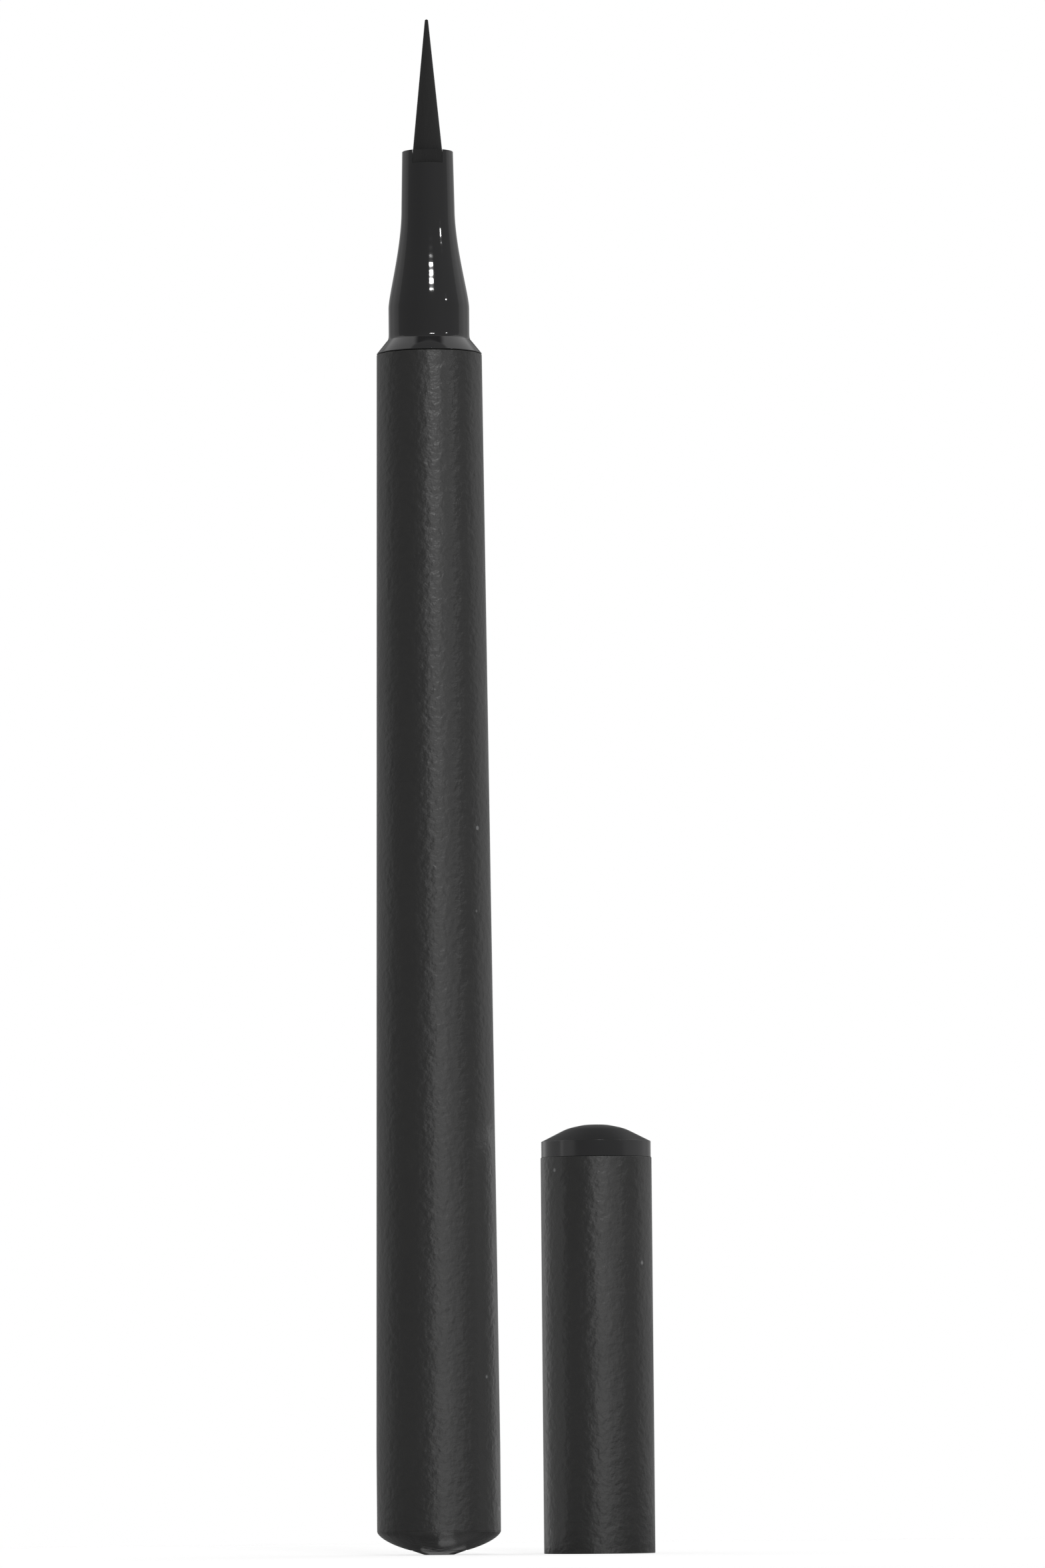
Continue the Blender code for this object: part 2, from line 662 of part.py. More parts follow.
def make_nib(surface):
    """The felt point: an even taper from the lip, a straight shank and a socketed heel."""
    socket_r = ROD_BORE_R
    socket_top = HEEL_START + NIB_SOCKET_DEPTH
    point = [
        (NIB_POINT_R * radius_share, POINT_Z - NIB_POINT_R * height_share)
        for radius_share, height_share in NIB_POINT_SHARES
    ]
    outline = [
        (0, POINT_Z),
        *point,
        (NIB_R, LIP_Z),
        (NIB_R, HEEL_TOP),
        (HEEL_R - SEAT_GAP, HEEL_TOP),
        (HEEL_R - SEAT_GAP, HEEL_START),
        (socket_r, HEEL_START),
        (socket_r, socket_top),
        (0, socket_top),
    ]
    settle(turned("nib", outline, surface, closed=False))


def make_cap_shell(surface):
    """The cap's straight tube, with a beaded mouth, a ledge for the inner cap and a snap groove."""
    bead = SNAP_GROOVE_WIDTH / 2
    outline = [
        (SHELL_BORE_R + SHELL_EDGE, SHELL_LENGTH),
        (CAP_R - SHELL_EDGE, SHELL_LENGTH),
        (CAP_R, SHELL_LENGTH - SHELL_EDGE),
        (CAP_R, SHELL_EDGE),
        (CAP_R - SHELL_EDGE, 0),
        (LEAD_IN_R, 0),
        (MOUTH_R, LEAD_IN_HEIGHT),
        (MOUTH_R, MOUTH_BEAD_Z - bead),
        (MOUTH_R - MOUTH_BEAD, MOUTH_BEAD_Z),
        (MOUTH_R, MOUTH_BEAD_Z + bead),
        (MOUTH_R, MOUTH_DEPTH),
        (SHELL_BORE_R, MOUTH_DEPTH),
        *snap_groove(SHELL_BORE_R, SHELL_LENGTH - SKIRT_DEPTH / 2),
        (SHELL_BORE_R, SHELL_LENGTH - SHELL_EDGE),
    ]
    piece = turned("cap_shell", outline, surface)
    settle(piece)
    piece.parent = cap_axis


def make_cap_crown(surface):
    """The cap's domed end, snapped into the shell, with a socket for the spring."""
    dome_start = CROWN_START + CROWN_RIM_HEIGHT
    dome = [
        (CROWN_R * radius_share, dome_start + CROWN_DOME_HEIGHT * height_share)
        for radius_share, height_share in reversed(CROWN_DOME_SHARES)
    ]
    outline = [
        (0, dome_start + CROWN_DOME_HEIGHT),
        *dome,
        (CROWN_R, dome_start - SHELL_EDGE),
        (CROWN_R, CROWN_START),
        (SKIRT_R, CROWN_START),
        *snap_bead(SKIRT_R, SHELL_BORE_R + SNAP_GROOVE_DEPTH, SHELL_LENGTH - SKIRT_DEPTH / 2),
        (SKIRT_R, SKIRT_END + SKIRT_CHAMFER),
        (SKIRT_R - SKIRT_CHAMFER, SKIRT_END),
        (SOCKET_R, SKIRT_END),
        (SOCKET_R, SOCKET_TOP),
        (0, SOCKET_TOP),
    ]
    piece = turned("cap_crown", outline, surface, closed=False)
    settle(piece)
    piece.parent = cap_axis


def make_inner_cap(surface):
    """The sealing cup that floats in the shell: two guide collars, a lip and a boss for the spring."""
    lip_r = INNER_CAP_R - INNER_CAP_LIP
    entry_r = (lip_r + COLLAR_R) / 2
    upper_collar_top = INNER_CAP_TOP - INNER_CAP_COLLAR
    outline = [
        (0, INNER_CAP_TOP + SPRING_BOSS_HEIGHT),
        (SPRING_BOSS_R, INNER_CAP_TOP + SPRING_BOSS_HEIGHT),
        (SPRING_BOSS_R, INNER_CAP_TOP),
        (INNER_CAP_OUTER_R - INNER_CAP_WALL / 2, INNER_CAP_TOP),
        (INNER_CAP_OUTER_R, INNER_CAP_TOP - INNER_CAP_WALL / 2),
        (INNER_CAP_OUTER_R, upper_collar_top),
        (COLLAR_R, upper_collar_top - SLIDE_GAP),
        (COLLAR_R, upper_collar_top - INNER_CAP_COLLAR),
        (INNER_CAP_OUTER_R, upper_collar_top - INNER_CAP_COLLAR - SLIDE_GAP),
        (INNER_CAP_OUTER_R, INNER_CAP_START + INNER_CAP_COLLAR + SLIDE_GAP),
        (COLLAR_R, INNER_CAP_START + INNER_CAP_COLLAR),
        (COLLAR_R, INNER_CAP_START),
        (entry_r, INNER_CAP_START),
        (lip_r, INNER_CAP_START + INNER_CAP_LIP_Z),
        (INNER_CAP_R, INNER_CAP_START + INNER_CAP_LIP_Z + INNER_CAP_LIP_BACK),
        (INNER_CAP_R, INNER_CAP_ROOM_TOP - INNER_CAP_ROOF / 2),
        (INNER_CAP_R - INNER_CAP_ROOF / 2, INNER_CAP_ROOM_TOP),
        (0, INNER_CAP_ROOM_TOP),
    ]
    piece = turned("inner_cap", outline, surface, closed=False)
    settle(piece)
    piece.parent = inner_cap_axis


def spring_points():
    """The wire's centre line: a level start, even curls and a level end, each end run straight."""
    wire_r = SPRING_WIRE / 2
    low = INNER_CAP_TOP + SEAT_GAP + wire_r
    high = SOCKET_TOP - SEAT_GAP - wire_r
    count = SPRING_TURNS * SPRING_TURN_POINTS
    points = []
    for number in range(count + 1):
        turn = math.tau * number / SPRING_TURN_POINTS
        height = low + (high - low) * number / count
        points.append(Vector((SPRING_R * math.cos(turn), SPRING_R * math.sin(turn), height)))
    # One wire diameter straight on, level with the seat, past the first and the last curl
    points.insert(0, points[0] - Vector((0, SPRING_WIRE, 0)))
    points.append(points[-1] + Vector((0, SPRING_WIRE, 0)))
    return points


def least_gap(points, spacing):
    """Smallest clear distance between one curl of the wire and the next."""
    nearest = min(
        (points[first] - points[second]).length
        for first in range(len(points))
        for second in range(first + spacing, len(points))
    )
    return nearest - SPRING_WIRE


def make_cap_spring(surface):
    """The coil spring between the inner cap's roof and the crown's socket."""
    points = spring_points()
    gap = least_gap(points, SPRING_TURN_POINTS // 2)
    print(f"cap_spring: least gap between curls {gap * 1000:.2f} mm")
    if gap <= SPRING_LEAST_GAP:
        print("cap_spring: the curls lie closer than they should")
    curve = bpy.data.curves.new("cap_spring", "CURVE")
    curve.dimensions = "3D"
    curve.bevel_depth = SPRING_WIRE / 2
    curve.bevel_resolution = 1
    curve.use_fill_caps = True
    spline = curve.splines.new("POLY")
    spline.points.add(len(points) - 1)
    for point, place in zip(spline.points, points):
        point.co = (*place, 1.0)
    curve.materials.append(surface)
    piece = bpy.data.objects.new("cap_spring", curve)
    piece.parent = cap_axis
    pieces.objects.link(piece)


for leftover in list(bpy.data.objects):
    bpy.data.objects.remove(leftover)

pieces = collection("liquid_eyeliner_pen")
cutters = collection("cutters")
cap_axis = axis_empty("cap_axis", (CAP_X, 0, 0))
inner_cap_axis = axis_empty("inner_cap_axis", (CAP_X, 0, 0))

soft_touch_black = material("soft_touch_black", "3a3a3b", 0.55)
gloss_black = material("gloss_black", "1b1b1c", 0.12)
black_felt = material("black_felt", "232323", 0.85)
natural_plastic = material("natural_plastic", "d9d8d2", 0.40)
milky_plastic = material("milky_plastic", "e8e8e4", 0.30)
inked_fibre = material("inked_fibre", "455051", 0.90)
steel = material("stainless_steel", "b9babc", 0.25, metallic=1.0)

make_barrel(soft_touch_black)
make_tail_plug(soft_touch_black)
make_mixing_ball(steel)
make_tank_bulkhead(natural_plastic)
make_ink_collector(natural_plastic)
make_feed_rod(inked_fibre)
make_nozzle(gloss_black)
make_nib_retainer(natural_plastic)
make_nib(black_felt)
make_cap_shell(soft_touch_black)
make_cap_crown(gloss_black)
make_inner_cap(milky_plastic)
make_cap_spring(steel)

print(f"cap_x {CAP_X:.5f}, point {POINT_Z:.5f}, capped lift {CAPPED_LIFT:.5f}")
print(f"travels: cap {CAP_LIFT_TRAVEL:.5f}, inner cap {INNER_CAP_FLOAT:.5f}, ball {BALL_TRAVEL:.5f}")
print(f"cap room: mouth radius {MOUTH_R:.5f}, inner cap {INNER_CAP_START:.5f} to {INNER_CAP_ROOM_TOP:.5f}")
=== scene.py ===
"""Dressed model of a liquid eyeliner pen that stands on its tail, with its pull-off cap beside it.

It is laid out as a Blender add-on and run as a script: each piece has an operator, and main() calls
them in order. Units are metres and +Z is up. The pen's axis is the Z axis, and the cap has an upright
axis of its own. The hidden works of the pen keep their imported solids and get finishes.
"""

import math
from functools import partial

import bpy
from bpy.props import FloatProperty, FloatVectorProperty, IntProperty, PointerProperty
from mathutils import Matrix, Vector


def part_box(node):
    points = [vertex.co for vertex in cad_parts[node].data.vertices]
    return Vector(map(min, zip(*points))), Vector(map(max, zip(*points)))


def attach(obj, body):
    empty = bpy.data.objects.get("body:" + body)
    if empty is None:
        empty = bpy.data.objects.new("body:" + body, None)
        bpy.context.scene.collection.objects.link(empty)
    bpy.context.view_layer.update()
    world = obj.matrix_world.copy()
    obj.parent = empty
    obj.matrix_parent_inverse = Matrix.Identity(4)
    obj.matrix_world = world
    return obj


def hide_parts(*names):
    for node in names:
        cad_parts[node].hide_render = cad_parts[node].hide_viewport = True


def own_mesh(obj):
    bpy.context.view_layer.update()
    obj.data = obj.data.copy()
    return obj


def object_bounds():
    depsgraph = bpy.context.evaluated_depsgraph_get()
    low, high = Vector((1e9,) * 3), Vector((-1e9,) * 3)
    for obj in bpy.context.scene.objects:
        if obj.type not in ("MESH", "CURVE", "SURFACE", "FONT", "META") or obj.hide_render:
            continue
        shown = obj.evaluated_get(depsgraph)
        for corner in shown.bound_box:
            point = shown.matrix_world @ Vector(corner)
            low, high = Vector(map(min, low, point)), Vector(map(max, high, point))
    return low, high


bl_info = {
    "name": "Liquid eyeliner pen",
    "version": (1, 0, 0),
    "blender": (4, 5, 0),
    "location": "3D View > Sidebar > Eyeliner",
    "description": "Dresses the pen and its cap, and sets a plain studio round them",
    "category": "Object",
}

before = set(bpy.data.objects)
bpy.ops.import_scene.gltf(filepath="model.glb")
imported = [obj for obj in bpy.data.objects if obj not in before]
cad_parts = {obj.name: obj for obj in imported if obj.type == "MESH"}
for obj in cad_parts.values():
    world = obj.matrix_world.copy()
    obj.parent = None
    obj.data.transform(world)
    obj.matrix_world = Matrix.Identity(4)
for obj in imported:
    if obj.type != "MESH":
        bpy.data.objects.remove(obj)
CAD_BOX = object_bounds()

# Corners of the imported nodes
BARREL_LOW, BARREL_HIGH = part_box("barrel")
PLUG_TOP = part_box("tail_plug")[1].z
NOZZLE_LOW, NOZZLE_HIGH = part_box("nozzle")
NIB_LOW, NIB_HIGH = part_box("nib")
SHELL_LOW, SHELL_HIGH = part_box("cap_shell")
CROWN_LOW, CROWN_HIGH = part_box("cap_crown")
INNER_LOW, INNER_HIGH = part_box("inner_cap")
SPRING_LOW, SPRING_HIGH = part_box("cap_spring")
CAP_X = (SHELL_LOW.x + SHELL_HIGH.x) / 2

# Faces round a turned piece, and along its curves
SIDES = 160
HIDDEN_SIDES = 96
WIRE_SIDES = 16
FLOOR_SIDES = 96
CURVE_STEPS = 32
BLEND_STEPS = 8
TIP_STEPS = 8
EDGE_STEPS = 4
CORNER_ANGLE = math.radians(20)  # a sharper corner of an outline gets an eased edge
EDGE_REACH_SHARE = 0.45  # how much of a side an eased edge may take
SMOOTH_ANGLE = math.radians(30)
SEED_SIZE = 0.0002
MERGE = 0.0000005
OVERRUN = 0.0004  # how far a cutter reaches past what it cuts

# Shape of the nozzle's two curves
FLARE_HOLDS = (0.0012, 0.0034)  # how far the flare keeps its direction at the neck and at the tube
BLEND_SHARE = 0.35  # the blend's curve is nearly upright above this share of its height

# Hidden fits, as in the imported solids
SEAT_GAP = 0.00005
HAIRLINE = 0.00001  # all that shows of the joints of barrel and tail, and of cap and crown
SNAP_DEPTH = 0.00016
SNAP_WIDTH = 0.0011
SNAP_INSET = 0.0026
BEAD_HALF = SNAP_WIDTH / 2 - SEAT_GAP  # half the width of the bead in such a groove
SEAL_RIB = 0.00020
SEAL_RIB_WIDTH = 0.00045
SEAL_RIB_INSET = 2 * SEAL_RIB_WIDTH  # from a spigot's end to the middle of its rib
PLUG_FLOOR = 0.00085
PLUG_WALL = 0.00075
CROSS_RIB = 0.00070
SPIGOT_WALL = 0.00080
HEEL_STEP = 0.00058
HEEL_LENGTH = 0.0020
HEEL_BORE_DROP = 0.00065  # from the barrel's top down to the bore for the nib's heel
SOCKET_R = 0.00090
SOCKET_DEPTH = 0.0032
VENT_GROOVE_WIDTH = 0.00036
VENT_GROOVE_DEPTH = 0.00022
VENT_GROOVE_TURNS = (0.0, math.radians(90))
LIP_NOTCH_DEPTH = 0.00116
LIP_NOTCH_MARGIN = 0.00001
MOUTH_BEAD_HEIGHT = 0.0021
MOUTH_BEAD_DEPTH = 0.00008
SKIRT_WALL = 0.00085
SKIRT_CHAMFER = 0.00025
CROWN_SOCKET_DEPTH = 0.0008
COLLAR_GAP = 0.00010
COLLAR_HEIGHT = 0.0011
INNER_WALL = 0.00055
INNER_ROOF = 0.0006
INNER_LIP_HEIGHT = 0.0009
INNER_LIP_BACK = 0.00045
BOSS_HEIGHT = 0.0008
BOSS_R = 0.001265

# The table top, and the light that it seems to give back to the camera
FLOOR_R = 0.13
FLOOR_FADE_START = 0.09
FLOOR_LIFT = 0.70
PAINTED_SHADE_REACH = (0.05, 0.13)  # painted shade on the table round the pieces, seen only in reflections, from full to none
PAINTED_SHADE_LEFT = 0.12  # how much of the white is left under that painted shade

LEAN_REACH = 0.6  # sideways part of a direction where the room's lean is full
SENSOR_WIDTH = 36  # millimetres
CAMERA_CLIP = 0.01
WHITE = (1.0, 1.0, 1.0, 1.0)

PEN_PAINT = ("painted_barrel", "painted_tail")
CAP_OUTSIDE = ("painted_cap_shell", "glossy_crown")
PAINTED_PIECES = (*PEN_PAINT, "painted_cap_shell")
TAIL = ("painted_tail",)
CROWN = ("glossy_crown",)
DOWN = (0, 0, -1)

# Lamps and soft panels: degrees round from the front and up, degrees across, metres away, their share
# of the light on a white card that faces them, and the pieces that they light, where none means all
LAMPS = {
    "key_lamp": (10, 30.2, (12.0, 1.2), 2.5, 0.20, ()),
    "side_lamp": (53, 20.7, (4.0, 2.4), 2.5, 0.035, ()),
    "front_panel": (8, -2, (29, 42), 1.2, 0.165, PAINTED_PIECES),
    "right_panel": (36, 3, (28, 28), 1.2, 0.055, PAINTED_PIECES),
    "crown_left": (-62, 3, (34, 40), 0.6, 0.060, CROWN),
    "crown_right": (78, 3, (36, 40), 0.6, 0.045, CROWN),
}
# Small glowing cards, hidden from the camera: two between pen and cap, so that neither darkens the
# other's near side, and five on the table, which shape the light on the domed tail. Each has a place,
# a way that its back faces, a size, a brightness and the pieces that it lights
CARDS = {
    "card_at_cap": (
        (SHELL_LOW.x, 0, CROWN_HIGH.z / 2), (1, 0, 0),
        (SHELL_HIGH.y - SHELL_LOW.y, CROWN_HIGH.z), 0.45, PEN_PAINT,
    ),
    "card_at_pen": (
        (BARREL_HIGH.x, 0, CROWN_HIGH.z), (-1, 0, 0),
        (BARREL_HIGH.y - BARREL_LOW.y, 2 * CROWN_HIGH.z), 0.6, CAP_OUTSIDE,
    ),
    "card_before_tail": ((0.0009, -0.0076, 0.0001), DOWN, (0.0016, 0.0044), 1.3, TAIL),
    "card_under_tail": ((0.0008, -0.0041, 0.0001), DOWN, (0.0015, 0.0024), 0.45, TAIL),
    "card_right_of_tail": ((0.0029, -0.0078, 0.0001), DOWN, (0.0058, 0.0096), 0.20, TAIL),
    "card_left_of_tail": ((-0.0029, -0.0085, 0.0001), DOWN, (0.0058, 0.0070), 0.12, TAIL),
    "card_under_button": ((0.0004, -0.0015, 0.00005), DOWN, (0.0040, 0.0007), 0.50, TAIL),
}

# Kinds of shader node
NOISE = "ShaderNodeTexNoise"
RANGE = "ShaderNodeMapRange"
MATH = "ShaderNodeMath"
MIX = "ShaderNodeMix"
BUMP = "ShaderNodeBump"

MIX_FACTOR, MIX_A, MIX_B, MIX_RESULT = 0, 6, 7, 2  # sockets of a colour Mix node
WAVE_STEP = 20  # Blender's Wave texture has this many radians in a unit of its scale


def length(name, description, default):
    """A property that is a length."""
    return FloatProperty(name=name, description=description, default=default, unit="LENGTH")


def angle(name, description, degrees):
    """A property that is an angle."""
    default = math.radians(degrees)
    return FloatProperty(name=name, description=description, default=default, subtype="ANGLE")


def number(name, description, default):
    """A property that is a number without a unit."""
    return FloatProperty(name=name, description=description, default=default)


def linear(hex_colour):
    """An sRGB hex colour as the linear colour that a shader takes."""
    channels = [int(hex_colour[start : start + 2], 16) / 255 for start in (0, 2, 4)]
    return [c / 12.92 if c <= 0.04045 else ((c + 0.055) / 1.055) ** 2.4 for c in channels]


def colour(name, description, hex_colour):
    """A property that is a colour."""
    default = linear(hex_colour)
    return FloatVectorProperty(name=name, description=description, default=default, subtype="COLOR")


class PenSizes(bpy.types.PropertyGroup):
    """Sizes of the pen that show."""

    tail_radius: length("Tail radius", "Outer radius of the barrel at its tail", BARREL_HIGH.x)
    shoulder_radius: length(
        "Shoulder radius", "Outer radius of the barrel where the nozzle starts", NOZZLE_HIGH.x
    )
    straight_length: length("Straight stretch", "How far the barrel runs straight before its taper", 0.0070)
    wall: length("Barrel wall", "Thickness of the barrel's wall", 0.00085)
    edge: length("Eased edges", "Radius of the outer edges of the barrel and the cap's tube", 0.00006)
    fine_edge: length("Fine edges", "Radius of the edges of the other pieces", 0.00003)
    head_power: number(
        "Tail dome power", "Exponent of the tail dome's superellipse, where 2 is an ellipse", 1.6
    )
    foot_radius: length("Foot radius", "Radius of the flat that the pen stands on", 0.00125)
    button_radius: length("Button radius", "Radius of the button in the middle of the tail", 0.00226)
    button_groove: length("Button groove", "Width and depth of the fine groove round that button", 0.00014)
    flange_land: length("Flange land", "Height of the thin straight rim under the nozzle's cone", 0.00006)
    cone_height: length("Cone height", "Height of the nozzle's cone, which the cap's rim seats on", 0.00105)
    blend_height: length("Blend height", "Height of the curve from the cone to the neck", 0.00065)
    neck_radius: length("Neck radius", "Radius of the nozzle's neck", 0.00347)
    flare_length: length("Flare length", "Length of the curve from the neck to the front tube", 0.0087)
    front_radius: length("Front tube radius", "Radius of the nozzle's front tube at its base", 0.002285)
    front_length: length("Front tube length", "Length of the nozzle's front tube", 0.00486)
    front_draft: length(
        "Front tube draft", "How much the front tube's radius shrinks towards its lip", 0.00010
    )
    nib_radius: length("Nib radius", "Radius of the felt nib where it leaves the nozzle", 0.00127)
    nib_point_radius: length("Nib point radius", "Radius of the rounded point of the nib", 0.00015)


class CapSizes(bpy.types.PropertyGroup):
    """Sizes of the cap."""

    shell_radius: length(
        "Shell radius", "Outer radius of the cap's straight tube", (SHELL_HIGH.x - SHELL_LOW.x) / 2
    )
    shell_wall: length("Shell wall", "Thickness of the tube's wall above the mouth", 0.00078)
    mouth_radius: length("Mouth radius", "Radius of the mouth that slips over the nozzle's neck", 0.0036)
    mouth_depth: length("Mouth depth", "Depth of the narrow mouth", 0.0052)
    lead_in_radius: length("Lead-in radius", "Radius of the chamfered mouth at the rim", 0.00422)
    lead_in_height: length("Lead-in height", "Height of that chamfer", 0.00078)
    crown_radius: length("Crown radius", "Radius of the glossy crown", (CROWN_HIGH.x - CROWN_LOW.x) / 2)
    crown_dome_height: length("Dome height", "Height of the crown's dome above its straight rim", 0.00144)
    crown_knee_radius: length(
        "Knee radius", "Radius where the dome's outer cone gives way to its flatter one", 0.00246
    )
    crown_knee_drop: length("Knee drop", "How far that place lies under the top of the dome", 0.00032)
    crown_flat_radius: length("Flat radius", "Radius of the level middle of the dome", 0.0010)
    crown_ease: length("Dome easing", "Radius of the curves between the dome's cones", 0.0040)
    inner_bore: length("Inner cap bore", "Bore of the inner cap, which seals round the nozzle", 0.00305)
    spring_wire: length("Spring wire", "Diameter of the spring's wire", 0.00035)
    spring_radius: length("Spring radius", "Radius of the spring to the middle of its wire", 0.00172)
    spring_turns: IntProperty(name="Spring turns", description="Number of the spring's curls", default=4)


class FinishColours(bpy.types.PropertyGroup):
    """Colours of the finishes."""

    paint: colour(
        "Soft-touch paint", "Colour of the paint on the barrel, the tail and the cap's tube", "191919"
    )
    paint_light: colour("Paint mottle", "Lighter colour that the paint's mottle reaches", "20201f")
    gloss: colour("Gloss black", "Colour of the glossy nozzle and crown", "1c1c1d")
    felt: colour("Nib felt", "Colour of the inked felt", "343434")
    milky: colour("Milky plastic", "Colour of the inner cap", "e8e8e4")
    natural: colour("Natural plastic", "Colour of the unpigmented inner pieces", "d9d8d2")
    ink: colour("Ink", "Grey-green of the ink, as the wick and the stained inner pieces show it", "455051")
    steel: colour("Steel", "Colour of the mixing ball and the spring", "b9babc")


class StudioSettings(bpy.types.PropertyGroup):
    """The camera, which stands low and looks slightly up, and the light."""

    camera_distance: length("Camera distance", "From the pen's axis to the camera", 0.800)
    camera_height: length("Camera height", "Height of the camera above the floor", 0.008)
    camera_aside: length("Camera aside", "How far it stands from the pen's axis towards the cap", 0.00767)
    camera_pitch: angle("Camera pitch", "How far the camera looks up", 4.119)
    camera_roll: angle(
        "Camera roll", "How far the picture leans, so that the barrel's left edge is upright", 0.52
    )
    lens: number("Lens", "Focal length in millimetres, for a sensor of 36 mm along the long side", 215.394)
    front_level: number("Front level", "Brightness of the room behind the camera, where white is 1", 0.45)
    side_level: number("Side level", "Brightness of the walls on both sides", 0.70)
    side_lean: number("Side lean", "How much brighter the room is on the right, and darker opposite", 0.11)
    behind_level: number("Behind level", "Brightness behind the pen, round the white backdrop", 0.45)
    ceiling_level: number("Ceiling level", "Brightness of the ceiling over and behind the pen", 1.1)
    flag_level: number("Flag level", "Brightness of the dark flag above and behind the pen", 0.17)


def arc_between(start, end, steps, curve):
    """Points of a curve at even steps of its one variable, without the one at the start."""
    return [curve(start + (end - start) * step / steps) for step in range(1, steps + 1)]


def bezier(corners, steps):
    """Points of a cubic Bezier curve in an outline, without the one that it starts from."""
    points = []
    for step in range(1, steps + 1):
        t = step / steps
        weights = ((1 - t) ** 3, 3 * t * (1 - t) ** 2, 3 * t * t * (1 - t), t**3)
        point = sum((w * Vector(corner) for w, corner in zip(weights, corners)), Vector((0, 0)))
        points.append(tuple(point))
    return points


def eased(outline, radius, least_turn=CORNER_ANGLE, sharp=None):
    """The outline with an eased edge of about that radius at each corner that turns enough.

    One corner may be named that stays sharp.
    """
    points = [tuple(outline[0])]
    for before, place, after in zip(outline, outline[1:], outline[2:]):
        corner = Vector(place)
        into = corner - Vector(before)
        onward = Vector(after) - corner
        turn = into.angle(onward)
        if turn < least_turn or place == sharp:
            points.append(place)
            continue
        longest = min(into.length, onward.length) * EDGE_REACH_SHARE
        reach = min(radius * math.tan(turn / 2), longest)
        start = corner - into.normalized() * reach
        end = corner + onward.normalized() * reach
        for step in range(EDGE_STEPS + 1):
            t = step / EDGE_STEPS
            points.append(tuple((1 - t) ** 2 * start + 2 * t * (1 - t) * corner + t * t * end))
    points.append(tuple(outline[-1]))
    return points


def rib(radius, rib_radius, middle):
    """Outline points, from the bottom up, of a round seal rib."""
    half = SEAL_RIB_WIDTH / 2
    return [
        (radius, middle - half), (rib_radius, middle - half / 2),
        (rib_radius, middle + half / 2), (radius, middle + half),
    ]


def snap(radius, depth, middle, half=SNAP_WIDTH / 2):
    """Outline points, from the bottom up, of a snap bead, or of a groove in a bore."""
    return [
        (radius, middle - half), (radius + depth, middle - half + depth),
        (radius + depth, middle + half - depth), (radius, middle + half),
    ]


def select_only(piece):
    """Makes one object the active one and the only selected one."""
    bpy.ops.object.select_all(action="DESELECT")
    piece.select_set(True)
    bpy.context.view_layer.objects.active = piece


def named(name):
    """The object that was just added, with its name given to it and its mesh."""
    piece = bpy.context.object
    piece.name = name
    piece.data.name = name
    return piece


def edit_all():
    """Opens the mesh of the active object with all of it selected."""
    bpy.ops.object.mode_set(mode="EDIT")
    bpy.ops.mesh.select_all(action="SELECT")


def settle(piece):
    """Puts a piece's place into its mesh and smooths its round faces."""
    select_only(piece)
    bpy.ops.object.transform_apply(location=True, rotation=True, scale=True)
    bpy.ops.object.shade_smooth_by_angle(angle=SMOOTH_ANGLE)


def turned(name, outline, axis_x=0.0, sides=SIDES):
    """Draws an outline of (radius, height) points as a run of edges and spins it once round the axis.

    An outline that starts and ends on the axis gives a solid, and one that ends where it starts a ring.
    """
    radius, height = outline[0]
    bpy.ops.mesh.primitive_plane_add(size=SEED_SIZE, location=(axis_x + radius, 0, height))
    piece = named(name)
    edit_all()
    bpy.ops.mesh.merge(type="CENTER")
    for (start_r, start_z), (end_r, end_z) in zip(outline, outline[1:]):
        step = (end_r - start_r, 0, end_z - start_z)
        bpy.ops.mesh.extrude_vertices_move(TRANSFORM_OT_translate={"value": step})
    bpy.ops.mesh.select_all(action="SELECT")
    bpy.ops.mesh.spin(steps=sides, angle=math.tau, center=(axis_x, 0, 0), axis=(0, 0, 1))
    bpy.ops.mesh.select_all(action="SELECT")
    bpy.ops.mesh.remove_doubles(threshold=MERGE)
    bpy.ops.mesh.normals_make_consistent(inside=False)
    bpy.ops.object.mode_set(mode="OBJECT")
    settle(piece)
    return piece


def block(low, high, turn=0.0):
    """A box between two corners, turned about the pen's axis, for joining or cutting."""
    low, high = Vector(low), Vector(high)
    bpy.ops.mesh.primitive_cube_add(size=1, location=(low + high) / 2, scale=high - low)
    made = bpy.context.object
    bpy.ops.object.transform_apply(location=True, rotation=True, scale=True)
    made.rotation_euler.z = turn
    return made


def combine(piece, tool, operation):
    """Joins or cuts a piece with a tool, and removes the tool."""
    select_only(piece)
    step = piece.modifiers.new("Combine", "BOOLEAN")
    step.operation = operation
    step.solver = "EXACT"
    step.object = tool
    bpy.ops.object.modifier_apply(modifier=step.name)
    bpy.data.objects.remove(tool)


def set_inputs(node, inputs):
    """Gives each input of a node its value, or links it to the socket that is given."""
    for key, value in inputs.items():
        if isinstance(value, bpy.types.NodeSocket):
            node.id_data.links.new(value, node.inputs[key])
        else:
            node.inputs[key].default_value = value


def add_node(tree, kind, inputs, **settings):
    """Adds a shader node with its settings and links, and gives its outputs."""
    made = tree.nodes.new(kind)
    for key, value in settings.items():
        setattr(made, key, value)
    set_inputs(made, inputs)
    return made.outputs


def new_material(name):
    """A material, a function that adds nodes to it, its shader, and where its patterns are looked up."""
    made = bpy.data.materials.new(name)
    made.use_nodes = True
    add = partial(add_node, made.node_tree)
    return made, add, made.node_tree.nodes["Principled BSDF"], add("ShaderNodeTexCoord", {})["Object"]


def per_metre(millimetres):
    """Scale of a pattern whose features are that many millimetres across."""
    return 1000 / millimetres


def opaque(colour):
    """A colour as the four numbers that a colour socket takes."""
    return (*colour, 1.0)


